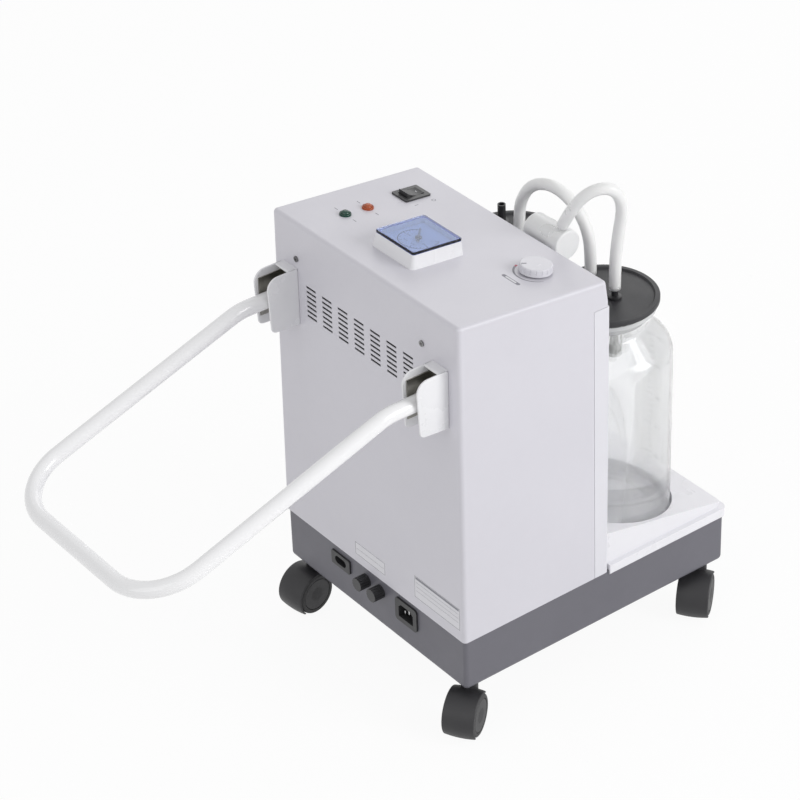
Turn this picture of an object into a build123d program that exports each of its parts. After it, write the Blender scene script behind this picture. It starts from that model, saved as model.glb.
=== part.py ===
"""Mobile twin-jar vacuum aspirator, in millimetres, +Z up.

The jars stand on the front, towards -Y, and the folding push handle reaches out behind, towards +Y.
The origin is on the floor, under the middle of the whole machine. Depths are measured forwards from
the back panel, heights upwards from the inside floor of the base.
"""
from build123d import *
from math import atan2, cos, radians, sin, tan
import os

os.makedirs("parts", exist_ok=True)

# Housing
body_width = 300.0
side_draft = 0.6
base_width = 304.0
base_depth = 350.5
base_behind = 2.0
base_height = 59.0
base_floor = 4.0
base_round = 6.0
level_zero = 64.0
cover_depth = 187.0
cover_back_top = 429.0
cover_front_top = 409.5
brow_drop = 24.0
brow_lean = 3.4
wall = 3.0
corner_radius = 4.5
seat_gap = 0.1
seam_gap = 0.5
body_gap = 0.3

# Front panel and tray
panel_top = 380.0
lip_overhang = 2.6
lip_bottom = 54.0
lip_top = 66.0
tray_top_back = 104.0
tray_top_front = 72.0
tray_wall = 2.5
pocket_floor = 65.0
pocket_gap = 1.8
channel_gap = 1.5
panel_spare = 1.7

# Jars and lids
jar_radius = 71.5
jar_spacing = 145.0
jar_ahead = 60.0
jar_wall = 3.5
jar_shoulder = 276.0
jar_neck_foot = 302.0
jar_mouth = 326.0
neck_radius = 46.0
lip_radius = 54.0
lip_tall = 12.0
lid_radius = 57.0
lid_top = 334.0
lid_thickness = 6.5
plug_depth = 15.0
spigot_radius = 4.2
spigot_bore = 2.8
hose_diameter = 12.4
hose_bore = 8.6

# Handle
handle_spread = 244.0
handle_tube = 17.0
handle_wall = 1.5
pivot_behind = 23.0
pivot_height = 346.0
stub_behind = 66.0
arm_length = 293.0
arm_droop = 18.7
handle_bend = 60.0
pin_radius = 4.0
running_gap = 0.06

# Casters
wheel_radius = 23.5
wheel_width = 13.0
web_width = 7.0
cowl_radius = 27.0
cowl_crown = 1.2
cowl_clear = 0.6
caster_trail = 14.0
caster_inset_side = 17.5
caster_inset_end = 18.0
stem_radius = 5.5

# Places that follow from the sizes above
arm_angle = radians(arm_droop)
grip_behind = stub_behind + arm_length * cos(arm_angle)
grip_height = pivot_height - arm_length * sin(arm_angle)
base_front = base_depth - base_behind
front_reach = base_front + lip_overhang
back_y = (front_reach - grip_behind - handle_tube / 2) / 2
half_width = body_width / 2
base_half = base_width / 2
top_slope = atan2(cover_back_top - cover_front_top, cover_depth - brow_lean)
top_normal = Vector(0, -sin(top_slope), cos(top_slope))
jar_x = jar_spacing / 2
jar_depth = cover_depth + jar_ahead
pocket_radius = jar_radius + pocket_gap
channel_radius = pocket_radius + channel_gap
panel_wrap = channel_radius - jar_ahead + wall + panel_spare


def y_at(depth):
    """Y of a point that lies this far in front of the back panel."""
    return back_y - depth


def z_at(height):
    """Z of a point this high above the inside floor of the base."""
    return level_zero + height


def on_top(x, depth, lift=0.0):
    """Plane on the sloping top of the cover, raised by lift along its normal."""
    height = cover_back_top - depth * tan(top_slope)
    origin = Vector(x, y_at(depth), z_at(height)) + top_normal * lift
    return Plane(origin=origin, x_dir=(1, 0, 0), z_dir=top_normal)


def on_back(x, height, behind=0.0):
    """Plane on the back panel, facing backwards, set back by behind."""
    return Plane(origin=(x, y_at(-behind), z_at(height)), x_dir=(-1, 0, 0), z_dir=(0, 1, 0))


def lean_at(height):
    """How far the leaning back of the cover stands behind the top of the back panel."""
    return (cover_back_top - height) * tan(radians(side_draft))


def on_base(x, height, behind=0.0):
    """Plane on the back of the base, facing backwards, set back by behind."""
    return on_back(x, height, base_behind + behind)


def finish(piece, name):
    """Label one finished piece and write its STEP file."""
    piece.part.label = name
    export_step(piece.part, f"parts/{name}.step")


def drafted(inset):
    """Prism whose sides and back lean in as they rise, for the mouldings that stand on the base."""
    rise = cover_back_top - base_height
    spread = rise * tan(radians(side_draft))
    length = 2 * cover_depth
    with BuildPart() as prism:
        with BuildSketch(Plane.XY.offset(z_at(base_height))):
            with Locations((0, y_at(length / 2 - spread / 2 + inset / 2))):
                Rectangle(body_width + 2 * spread - 2 * inset, length + spread - inset)
        extrude(amount=rise, taper=side_draft)
    return prism.part


# Cover: the side view of the moulding is extruded across the width, outside and inside
def cover_block(inset):
    back = inset - corner_radius
    front = cover_depth - inset
    skin = inset / cos(top_slope)
    back_top = cover_back_top - back * tan(top_slope) - skin
    front_top = cover_back_top - (front - brow_lean) * tan(top_slope) - skin
    with BuildPart() as block:
        with BuildSketch(Plane.YZ):
            with BuildLine():
                Polyline(
                    (y_at(back), z_at(base_height)),
                    (y_at(back), z_at(back_top)),
                    (y_at(front - brow_lean), z_at(front_top)),
                    (y_at(front), z_at(front_top - brow_drop)),
                    (y_at(front), z_at(base_height)),
                    close=True,
                )
            make_face()
        extrude(amount=half_width + corner_radius, both=True)
        add(drafted(inset), mode=Mode.INTERSECT)
        side_faces = [face for face in block.faces() if abs(face.normal_at().X) > 0.9]
        posts = [edge for face in side_faces for edge in face.edges() if abs(edge.tangent_at(0).Z) > 0.9]
        fillet(posts, radius=corner_radius - inset)
        top_face = block.faces().sort_by(Axis.Z)[-1]
        fillet(top_face.edges(), radius=corner_radius - inset - 0.5)
    return block.part


# Controls on the sloping top
switch_x, switch_depth = 100.0, 137.0
switch_length, switch_width = 32.0, 25.0
bezel_rim, bezel_lift, bezel_body = 3.0, 2.0, 18.0
lamp_x = 98.4
lamp_depths = (53.0, 81.0)
lamp_radius = 4.6
lamp_collar = 6.2
lamp_body, lamp_dome = 12.0, 4.8
gauge_x, gauge_depth = 0.0, 68.5
gauge_foot, gauge_head = 66.5, 61.0
gauge_rise, lens_rise = 14.5, 3.0
lens_side = 61.0
dial_lift = 8.5
dial_side = 54.0
valve_x, valve_depth = -98.0, 137.0
valve_radius = 5.0
knob_radius, knob_height = 17.0, 7.5

# Back panel
vent_x, vent_height = 8.5, 344.6
vent_pitch_x, vent_pitch_z = 26.5, 5.63
vent_columns, vent_rows = 7, 7
vent_length, vent_slot = 16.0, 2.6
screw_places = ((110.8, 387.0), (-94.0, 387.0))
screw_hole = 1.6

# Inlets in the back of the base
inlet_x, inlet_height = -56.0, 38.3
inlet_width, inlet_tall = 27.0, 20.0
inlet_flange_width, inlet_flange_tall = 36.0, 28.0
pedal_x, pedal_height = 56.5, 41.5
pedal_width, pedal_tall = 23.0, 11.5
pedal_flange_width, pedal_flange_tall = 32.0, 17.0
fuse_places = (13.5, -10.9)
fuse_height = 41.6
fuse_radius = 6.2
cap_radius, cap_reach = 7.6, 13.0

bracket_width = 25.2
bracket_below, bracket_above, bracket_reach = 36.0, 30.0, 39.0
bracket_low, bracket_high = pivot_height - bracket_below, pivot_height + bracket_above
bracket_wall = 2.2
bracket_round = 12.0

cover_outer = cover_block(0.0)
cover_inner = cover_block(wall)

with BuildPart() as main_cover:
    add(cover_outer)
    add(cover_inner, mode=Mode.SUBTRACT)
    # the front panel takes this corner of the moulding
    with BuildSketch(Plane.XY.offset(z_at(base_height))):
        with Locations((0, y_at(cover_depth))):
            Rectangle(2 * body_width, 2 * (panel_wrap + seam_gap))
    extrude(amount=panel_top + seam_gap - base_height, mode=Mode.SUBTRACT)
    with BuildSketch(on_back(vent_x, vent_height, wall)):
        with GridLocations(vent_pitch_x, vent_pitch_z, vent_columns, vent_rows):
            Rectangle(vent_length, vent_slot)
    extrude(amount=-3 * wall, mode=Mode.SUBTRACT)
    for place in screw_places:
        with BuildSketch(on_back(*place, behind=wall)):
            Circle(screw_hole)
        extrude(amount=-3 * wall, mode=Mode.SUBTRACT)
    with BuildSketch(on_top(switch_x, switch_depth)):
        Rectangle(switch_width - 2 * bezel_rim + seat_gap, switch_length - 2 * bezel_rim + seat_gap)
    extrude(amount=-2 * wall, mode=Mode.SUBTRACT)
    for depth in lamp_depths:
        with BuildSketch(on_top(lamp_x, depth)):
            Circle(lamp_radius + seat_gap)
        extrude(amount=-2 * wall, mode=Mode.SUBTRACT)
    with BuildSketch(on_top(gauge_x, gauge_depth)):
        Circle(dial_side / 2 - wall)
    extrude(amount=-2 * wall, mode=Mode.SUBTRACT)
    with BuildSketch(on_top(valve_x, valve_depth)):
        Circle(valve_radius + seat_gap)
    extrude(amount=-2 * wall, mode=Mode.SUBTRACT)
finish(main_cover, "main_cover")

with BuildPart() as cover_screws:
    for place in screw_places:
        seat = lean_at(place[1] - 2 * screw_hole)
        with BuildSketch(on_back(*place, behind=seat - wall - 6)):
            Circle(screw_hole - seat_gap)
        extrude(amount=wall + 6)
        with BuildSketch(on_back(*place, behind=seat)):
            Circle(2 * screw_hole)
        extrude(amount=1.5)
finish(cover_screws, "cover_screws")


# Front panel: a flat moulding with two round channels that the jars nest in
panel_round = 6.0
panel_width = body_width + 2 * (cover_back_top - base_height) * tan(radians(side_draft))


def panel_outline(inset):
    """Plan of the front panel, as a face, shrunk by inset from its outer surface."""
    back = cover_depth - panel_wrap
    with BuildSketch(Plane.XY.offset(z_at(base_height))) as plan:
        with Locations((0, y_at((back - inset + cover_depth - inset) / 2))):
            Rectangle(panel_width - 2 * inset, panel_wrap)
        with Locations((-jar_x, y_at(jar_depth)), (jar_x, y_at(jar_depth))):
            Circle(channel_radius + inset, mode=Mode.SUBTRACT)
        front_corners = plan.vertices().filter_by_position(
            Axis.Y, y_at(cover_depth), y_at(cover_depth - inset - 0.5)
        )
        fillet(front_corners, radius=panel_round - inset)
    return plan.sketch


panel_outer = panel_outline(0.0)
panel_inner = panel_outline(wall)

spigot_x = -21.0
filter_depth = 205.0
filter_height = 403.0
filter_radius = 15.0
elbow_height = 366.0
elbow_radius = 4.5

with BuildPart() as panel_cavity:
    with BuildSketch(Plane.XY.offset(z_at(base_height))):
        add(panel_inner)
        with Locations((0, y_at(cover_depth - panel_wrap))):
            Rectangle(panel_width - 2 * wall, 2 * wall)
    extrude(amount=panel_top - base_height - wall)
    add(drafted(wall), mode=Mode.INTERSECT)

with BuildPart() as front_panel:
    add(panel_outer)
    extrude(amount=panel_top - base_height)
    add(panel_cavity.part, mode=Mode.SUBTRACT)
    # the ledge over the jar channels carries on to the cover's brow
    with BuildSketch(Plane.XY.offset(z_at(panel_top - wall))):
        with Locations((0, y_at(cover_depth - panel_wrap / 2))):
            Rectangle(panel_width - 2 * panel_round, panel_wrap)
    extrude(amount=wall)
    with BuildSketch(Plane(origin=(spigot_x, y_at(cover_depth), z_at(elbow_height)), z_dir=(0, -1, 0))):
        Circle(elbow_radius + seat_gap)
    extrude(amount=-2 * wall, mode=Mode.SUBTRACT)
    add(drafted(0.0), mode=Mode.INTERSECT)
finish(front_panel, "front_panel")


# Base: an open box with bosses for the casters and cut-outs for the inlets
base_middle = y_at(base_depth / 2 - base_behind)
boss_radius = 12.0
rib_depths = (60.0, 150.0)
boss_height = 34.0
caster_x = base_half - caster_inset_side
caster_places = {
    "back_right": (-caster_x, y_at(caster_inset_end - base_behind), 122.0),
    "back_left": (caster_x, y_at(caster_inset_end - base_behind), 98.0),
    "front_right": (-caster_x, y_at(base_front - caster_inset_end), 128.0),
    "front_left": (caster_x, y_at(base_front - caster_inset_end), 52.0),
}
stem_places = [place[:2] for place in caster_places.values()]

with BuildPart() as base_tub:
    with BuildSketch(Plane.XY.offset(z_at(-base_floor))):
        with Locations((0, base_middle)):
            RectangleRounded(base_width, base_depth, corner_radius)
    extrude(amount=base_height + base_floor)
    fillet(base_tub.faces().sort_by(Axis.Z)[0].edges(), radius=base_round)
    with BuildSketch(Plane.XY.offset(z_at(0))):
        with Locations((0, base_middle)):
            RectangleRounded(base_width - 2 * wall, base_depth - 2 * wall, corner_radius - wall)
    extrude(amount=base_height, mode=Mode.SUBTRACT)
    with BuildSketch(Plane.XY.offset(z_at(0))):
        with Locations(*stem_places):
            Circle(boss_radius)
    extrude(amount=boss_height)
    with BuildSketch(Plane.XY.offset(z_at(-base_floor))):
        with Locations(*stem_places):
            Circle(stem_radius + seat_gap)
    extrude(amount=boss_height + base_floor - wall, mode=Mode.SUBTRACT)
    # ribs that the chassis plate and the tray stand on
    with BuildSketch(Plane.XY.offset(z_at(0))):
        for depth in rib_depths:
            with Locations((0, y_at(depth))):
                Rectangle(base_width - 2 * wall, wall)
    extrude(amount=base_height - wall - seat_gap)
    with BuildSketch(on_base(inlet_x, inlet_height)):
        Rectangle(inlet_width + 2 * seat_gap, inlet_tall + 2 * seat_gap)
    extrude(amount=-wall, mode=Mode.SUBTRACT)
    with BuildSketch(on_base(pedal_x, pedal_height)):
        Rectangle(pedal_width + 2 * seat_gap, pedal_tall + 2 * seat_gap)
    extrude(amount=-wall, mode=Mode.SUBTRACT)
    for x in fuse_places:
        with BuildSketch(on_base(x, fuse_height)):
            Circle(fuse_radius + seat_gap)
        extrude(amount=-wall, mode=Mode.SUBTRACT)
finish(base_tub, "base_tub")

with BuildPart() as chassis_plate:
    with BuildSketch(Plane.XY.offset(z_at(base_height - wall))):
        with Locations((0, y_at(cover_depth / 2))):
            RectangleRounded(body_width - 2 * wall - 2, cover_depth - 4 * wall, 4)
    extrude(amount=wall - seat_gap)
finish(chassis_plate, "chassis_plate")


# Tray: a hollow moulding over the front of the base, with two round pockets
tray_back = cover_depth + 0.6
tray_length = front_reach - tray_back
tray_middle = y_at(tray_back + tray_length / 2)
side_inset = lip_overhang + 2.6


def tray_block(inset):
    """The raised part of the tray: its top falls towards the front."""
    depth = tray_length - side_inset - inset
    with BuildPart() as block:
        with BuildSketch(Plane.YZ):
            with BuildLine():
                Polyline(
                    (y_at(tray_back), z_at(lip_bottom)),
                    (y_at(tray_back), z_at(tray_top_back - inset)),
                    (y_at(tray_back + depth), z_at(tray_top_front - inset)),
                    (y_at(tray_back + depth), z_at(lip_bottom)),
                    close=True,
                )
            make_face()
        extrude(amount=base_half + lip_overhang - side_inset - inset, both=True)
        front_posts = block.edges().filter_by(Axis.Z).group_by(Axis.Y)[0]
        fillet(front_posts, radius=corner_radius - inset)
    return block.part


tray_outer = tray_block(0.0)
tray_inner = tray_block(tray_wall)

with BuildPart() as tray_lip:
    with BuildSketch(Plane.XY.offset(z_at(lip_bottom))):
        with Locations((0, tray_middle)):
            Rectangle(base_width + 2 * lip_overhang, tray_length)
    extrude(amount=lip_top - lip_bottom)
    lip_posts = tray_lip.edges().filter_by(Axis.Z).group_by(Axis.Y)[0]
    fillet(lip_posts, radius=corner_radius + lip_overhang)
    rolled = tray_lip.edges().filter_by_position(Axis.Y, y_at(front_reach), y_at(tray_back + 1))
    fillet([edge for edge in rolled if abs(edge.center().Z - z_at(lip_bottom)) < 1], radius=2.4)

with BuildPart() as pocket_cups:
    with BuildSketch(Plane.XY.offset(z_at(pocket_floor - tray_wall))):
        with Locations((-jar_x, y_at(jar_depth)), (jar_x, y_at(jar_depth))):
            Circle(pocket_radius + tray_wall)
    extrude(amount=tray_top_back - pocket_floor)
    add(tray_outer, mode=Mode.INTERSECT)

with BuildPart() as bottle_tray:
    add(tray_lip.part)
    add(tray_outer)
    add(tray_inner, mode=Mode.SUBTRACT)
    with BuildSketch(Plane.XY.offset(z_at(lip_bottom))):
        with Locations((0, tray_middle + lip_overhang / 2)):
            Rectangle(base_width + 2 * seat_gap, tray_length - lip_overhang + 2 * seat_gap)
    extrude(amount=base_height + seat_gap - lip_bottom, mode=Mode.SUBTRACT)
    add(pocket_cups.part)
    with BuildSketch(Plane.XY.offset(z_at(pocket_floor))):
        with Locations((-jar_x, y_at(jar_depth)), (jar_x, y_at(jar_depth))):
            Circle(pocket_radius)
    extrude(amount=tray_top_back, mode=Mode.SUBTRACT)
finish(bottle_tray, "bottle_tray")


# Switch: a bezel clipped into the cover and a rocker on a cross pin
rocker_gap = 0.4
rocker_tilt = 9.0
rocker_axis = on_top(switch_x, switch_depth, bezel_lift - 2.0)
pocket_width = switch_width - 2 * bezel_rim
pocket_length = switch_length - 2 * bezel_rim

with BuildPart() as switch_bezel:
    with BuildSketch(on_top(switch_x, switch_depth)):
        RectangleRounded(switch_width, switch_length, 1.5)
    extrude(amount=bezel_lift)
    with BuildSketch(on_top(switch_x, switch_depth, -bezel_body)):
        Rectangle(pocket_width - seat_gap, pocket_length - seat_gap)
    extrude(amount=bezel_body)
    with BuildSketch(on_top(switch_x, switch_depth, -8.0)):
        Rectangle(pocket_width - 4, pocket_length - 3)
    extrude(amount=8.0 + bezel_lift, mode=Mode.SUBTRACT)
finish(switch_bezel, "switch_bezel")

rocker_length = pocket_length - 3 - 3 * rocker_gap
rocker_width = pocket_width - 4 - 2 * rocker_gap

with BuildPart() as switch_rocker:
    across = Plane(origin=rocker_axis.origin, x_dir=rocker_axis.y_dir, z_dir=(1, 0, 0))
    with BuildSketch(across):
        with BuildLine():
            end_rise = rocker_length / 2 * tan(radians(rocker_tilt))
            top_line = ThreePointArc(
                (-rocker_length / 2 + 0.6, 4.6 - end_rise), (0, 2.2), (rocker_length / 2 - 0.6, 4.6 + end_rise)
            )
            Polyline(
                top_line @ 1,
                (rocker_length / 2 - 0.6, 0),
                (3, -4.5),
                (-3, -4.5),
                (-rocker_length / 2 + 0.6, 0),
                top_line @ 0,
            )
        make_face()
    extrude(amount=rocker_width / 2, both=True)
finish(switch_rocker, "switch_rocker")


# Lamps: a collar in the cover with a domed lens
for name, depth in zip(("lamp_green", "lamp_amber"), lamp_depths):
    with BuildPart() as lamp:
        with BuildSketch(on_top(lamp_x, depth, -lamp_body)):
            Circle(lamp_radius)
        extrude(amount=lamp_body + lamp_dome)
        fillet(lamp.faces().sort_by(Axis.Z)[-1].edges(), radius=0.7 * lamp_radius)
        with BuildSketch(on_top(lamp_x, depth)):
            Circle(lamp_collar)
        extrude(amount=1.2)
    finish(lamp, name)


# Vacuum gauge: tapered case, dial, needle, clear window and the capsule under the cover
case_plane = on_top(gauge_x, gauge_depth)

with BuildPart() as gauge_case:
    with BuildSketch(case_plane):
        RectangleRounded(gauge_foot, gauge_foot, 5)
    with BuildSketch(on_top(gauge_x, gauge_depth, gauge_rise)):
        RectangleRounded(gauge_head, gauge_head, 2.5)
    loft()
    with BuildSketch(on_top(gauge_x, gauge_depth, dial_lift)):
        RectangleRounded(dial_side, dial_side, 4)
    extrude(amount=gauge_rise, mode=Mode.SUBTRACT)
    with BuildSketch(case_plane):
        Circle(9)
    extrude(amount=dial_lift, mode=Mode.SUBTRACT)
finish(gauge_case, "gauge_case")

with BuildPart() as gauge_capsule:
    with BuildSketch(on_top(gauge_x, gauge_depth, -22.0)):
        Circle(dial_side / 2 - wall - 1)
    extrude(amount=22.0 - seat_gap)
    with BuildSketch(on_top(gauge_x, gauge_depth, -seat_gap)):
        Circle(8.5)
    extrude(amount=dial_lift + 2 * seat_gap)
    with BuildSketch(on_top(gauge_x, gauge_depth, -34.0)):
        Circle(4)
    extrude(amount=12.0)
    with BuildSketch(on_top(gauge_x, gauge_depth, -10.0)):
        Circle(1.0 + running_gap)
    extrude(amount=10.0 + 2 * dial_lift, mode=Mode.SUBTRACT)
finish(gauge_capsule, "gauge_capsule")

with BuildPart() as gauge_dial:
    with BuildSketch(on_top(gauge_x, gauge_depth, dial_lift + seat_gap)):
        RectangleRounded(dial_side - 1, dial_side - 1, 3.5)
        Circle(1.6, mode=Mode.SUBTRACT)
    extrude(amount=1.0)
finish(gauge_dial, "gauge_dial")

needle_lift = dial_lift + 2.6
needle_angle = -42.0

with BuildPart() as gauge_needle:
    with BuildSketch(on_top(gauge_x, gauge_depth, needle_lift)):
        Circle(3.4)
        with Locations(Location((0, 0, 0), (0, 0, needle_angle))):
            with BuildLine():
                Polyline((-8, 1.3), (-8, -1.3), (21, -0.35), (21, 0.35), (-8, 1.3))
            make_face()
    extrude(amount=0.8)
    with BuildSketch(on_top(gauge_x, gauge_depth, -8.0)):
        Circle(1.0)
    extrude(amount=needle_lift + 8.0)
finish(gauge_needle, "gauge_needle")

with BuildPart() as gauge_window:
    with BuildSketch(on_top(gauge_x, gauge_depth, gauge_rise + seat_gap)):
        RectangleRounded(lens_side, lens_side, 2.5)
    extrude(amount=lens_rise)
    chamfer(gauge_window.faces().sort_by(Axis.Z)[-1].edges(), length=0.5)
finish(gauge_window, "gauge_window")


# Vacuum regulator: valve body under the cover, knob above
with BuildPart() as regulator_valve:
    with BuildSketch(on_top(valve_x, valve_depth, -30.0)):
        Circle(11)
    extrude(amount=30.0 - wall - seat_gap)
    with BuildSketch(on_top(valve_x, valve_depth, -wall - seat_gap)):
        Circle(valve_radius)
    extrude(amount=wall + 2.0)
    with BuildSketch(on_top(valve_x, valve_depth, -20.0)):
        Circle(2.5 + running_gap)
    extrude(amount=24.0, mode=Mode.SUBTRACT)
finish(regulator_valve, "regulator_valve")

knob_lift = 2.2

with BuildPart() as regulator_knob:
    with BuildSketch(on_top(valve_x, valve_depth, knob_lift)):
        Circle(knob_radius)
    extrude(amount=knob_height, taper=5)
    top_rim = regulator_knob.faces().sort_by(Axis.Z)[-1].edges()
    fillet(top_rim, radius=1.6)
    with BuildSketch(on_top(valve_x, valve_depth, knob_lift + 2.5)):
        with PolarLocations(knob_radius + 0.2, 18):
            Circle(1.1)
    extrude(amount=knob_height, mode=Mode.SUBTRACT)
    with BuildSketch(on_top(valve_x, valve_depth, -14.0)):
        Circle(2.5)
    extrude(amount=14.0 + knob_lift)
finish(regulator_knob, "regulator_knob")


# Mains inlet, foot-switch socket and fuse holders in the back of the base
with BuildPart() as mains_inlet:
    with BuildSketch(on_base(inlet_x, inlet_height)):
        RectangleRounded(inlet_flange_width, inlet_flange_tall, 4)
    extrude(amount=2.2)
    with BuildSketch(on_base(inlet_x, inlet_height)):
        Rectangle(inlet_width, inlet_tall)
    extrude(amount=-22.0)
    with BuildSketch(on_base(inlet_x, inlet_height, 2.2)):
        with BuildLine():
            Polyline((-12, -8), (12, -8), (12, 4), (8, 8), (-8, 8), (-12, 4), close=True)
        make_face()
    extrude(amount=-19.0, mode=Mode.SUBTRACT)
    with BuildSketch(on_base(inlet_x, inlet_height, -16.8)):
        with Locations((-7, -3), (7, -3)):
            Rectangle(2, 4)
        with Locations((0, 0)):
            Rectangle(2, 4)
    extrude(amount=14.5)
finish(mains_inlet, "mains_inlet")

with BuildPart() as pedal_socket:
    with BuildSketch(on_base(pedal_x, pedal_height)):
        RectangleRounded(pedal_flange_width, pedal_flange_tall, 2)
    extrude(amount=2.2)
    with BuildSketch(on_base(pedal_x, pedal_height)):
        Rectangle(pedal_width, pedal_tall)
    extrude(amount=-18.0)
    with BuildSketch(on_base(pedal_x, pedal_height, 2.2)):
        SlotOverall(19, 9)
    extrude(amount=-14.0, mode=Mode.SUBTRACT)
    with BuildSketch(on_base(pedal_x, pedal_height, -11.8)):
        with Locations((-4.3, 0), (4.3, 0)):
            Circle(1.2)
    extrude(amount=9.4)
finish(pedal_socket, "pedal_socket")

with BuildPart() as fuse_holders:
    for x in fuse_places:
        with BuildSketch(on_base(x, fuse_height)):
            Circle(cap_radius)
        extrude(amount=1.5)
        with BuildSketch(on_base(x, fuse_height)):
            Circle(fuse_radius)
        extrude(amount=-24.0)
        with BuildSketch(on_base(x, fuse_height, 1.5)):
            Circle(fuse_radius - 1.4)
        extrude(amount=-23.5, mode=Mode.SUBTRACT)
finish(fuse_holders, "fuse_holders")

with BuildPart() as fuse_caps:
    for x in fuse_places:
        with BuildSketch(on_base(x, fuse_height, 1.5 + seat_gap)):
            Circle(cap_radius)
            with PolarLocations(cap_radius + 0.3, 14):
                Circle(0.9, mode=Mode.SUBTRACT)
        extrude(amount=cap_reach - 1.5)
        with BuildSketch(on_base(x, fuse_height, 1.5 + seat_gap)):
            Circle(fuse_radius - 1.4 - seat_gap)
        extrude(amount=-7.0)
    for x in fuse_places:
        with BuildSketch(on_base(x, fuse_height, cap_reach)):
            Rectangle(10, 1.2)
        extrude(amount=-1.5, mode=Mode.SUBTRACT)
finish(fuse_caps, "fuse_caps")

with BuildPart() as fuses:
    for x in fuse_places:
        with BuildSketch(on_base(x, fuse_height, -5.5 - seat_gap)):
            Circle(2.6)
        extrude(amount=-15.5)
finish(fuses, "fuses")


# Handle brackets: plastic hoods open outwards, a steel liner in each and the hinge pins
pivot_y = y_at(-pivot_behind)
pivot_z = z_at(pivot_height)
arm_places = {"right": -handle_spread / 2, "left": handle_spread / 2}
liner_sheet = 1.4
liner_inside = handle_tube + 0.8
liner_half_height = 22.0

for side, arm_x in arm_places.items():
    with BuildPart() as hood:
        with BuildSketch(Plane.YZ.offset(arm_x)):
            with BuildLine():
                Polyline(
                    (y_at(0), z_at(bracket_low)),
                    (y_at(0), z_at(bracket_high)),
                    (y_at(-bracket_reach), z_at(bracket_high)),
                    (y_at(-bracket_reach + 3), z_at(bracket_low + 3)),
                    (y_at(-3), z_at(bracket_low)),
                    close=True,
                )
            make_face()
        extrude(amount=bracket_width / 2, both=True)
        cross_edges = hood.edges().filter_by(Axis.X)
        fillet(cross_edges.filter_by_position(Axis.Z, z_at(bracket_high - 1), z_at(bracket_high + 1))
               .sort_by(Axis.Y)[-1], radius=bracket_round)
        fillet(hood.edges().filter_by(Axis.X).filter_by_position(
            Axis.Z, z_at(bracket_low + 2), z_at(bracket_low + 4)), radius=5.0)
        outline_edges = [
            edge for edge in hood.edges()
            if abs(abs(edge.center().X - arm_x) - bracket_width / 2) < 0.1 and edge.center().Y > y_at(-0.5)
        ]
        fillet(outline_edges, radius=2.0)
        cavity_width = bracket_width - 2 * bracket_wall
        with BuildSketch(Plane.YZ.offset(arm_x)):
            with Locations((y_at(-bracket_wall - bracket_reach / 2), z_at(bracket_high - bracket_wall - 40))):
                Rectangle(bracket_reach, 80)
        extrude(amount=cavity_width / 2, both=True, mode=Mode.SUBTRACT)
        with BuildSketch(Plane.YZ.offset(arm_x)):
            with Locations((y_at(-20 - bracket_reach / 2), z_at(bracket_high))):
                Rectangle(bracket_reach, 60)
        extrude(amount=cavity_width / 2, both=True, mode=Mode.SUBTRACT)
        with BuildSketch(Plane(origin=(arm_x, pivot_y, pivot_z), z_dir=(1, 0, 0))):
            Circle(pin_radius + seat_gap)
        extrude(amount=bracket_width / 2 - 1.0, both=True, mode=Mode.SUBTRACT)
        add(drafted(0.0), mode=Mode.SUBTRACT)
    finish(hood, f"handle_hood_{side}")

    with BuildPart() as liner:
        with BuildSketch(Plane.XY.offset(pivot_z)):
            with Locations((arm_x, y_at(-bracket_wall - seat_gap - (bracket_reach - 7) / 2))):
                Rectangle(liner_inside + 2 * liner_sheet, bracket_reach - 7)
            with Locations((arm_x, y_at(-bracket_wall - seat_gap - liner_sheet - bracket_reach / 2))):
                Rectangle(liner_inside, bracket_reach, mode=Mode.SUBTRACT)
        extrude(amount=liner_half_height, both=True)
        with BuildSketch(Plane(origin=(arm_x, pivot_y, pivot_z), z_dir=(1, 0, 0))):
            Circle(pin_radius + seat_gap)
        extrude(amount=bracket_width, both=True, mode=Mode.SUBTRACT)
    finish(liner, f"hinge_liner_{side}")

with BuildPart() as hinge_pins:
    for arm_x in arm_places.values():
        with BuildSketch(Plane(origin=(arm_x, pivot_y, pivot_z), z_dir=(1, 0, 0))):
            Circle(pin_radius)
        extrude(amount=bracket_width / 2 - 1.0 - seat_gap, both=True)
finish(hinge_pins, "hinge_pins")


# Handle: one bent tube, with a nylon bush for the pin in each end
tube_end = 9.0
stub_z = z_at(pivot_height)
half_spread = handle_spread / 2
grip_y = y_at(-grip_behind)
grip_z = z_at(grip_height)

with BuildPart() as handle_tube_part:
    with BuildLine() as handle_path:
        FilletPolyline(
            (-half_spread, pivot_y - tube_end, stub_z),
            (-half_spread, y_at(-stub_behind), stub_z),
            (-half_spread, grip_y, grip_z),
            (half_spread, grip_y, grip_z),
            (half_spread, y_at(-stub_behind), stub_z),
            (half_spread, pivot_y - tube_end, stub_z),
            radius=handle_bend,
        )
    with BuildSketch(Plane(origin=handle_path.line @ 0, z_dir=(0, 1, 0))):
        Circle(handle_tube / 2)
        Circle(handle_tube / 2 - handle_wall, mode=Mode.SUBTRACT)
    sweep()
    for arm_x in arm_places.values():
        with BuildSketch(Plane(origin=(arm_x, pivot_y, pivot_z), z_dir=(1, 0, 0))):
            Circle(pin_radius + 0.5)
        extrude(amount=handle_tube, both=True, mode=Mode.SUBTRACT)
finish(handle_tube_part, "handle_tube")

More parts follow.
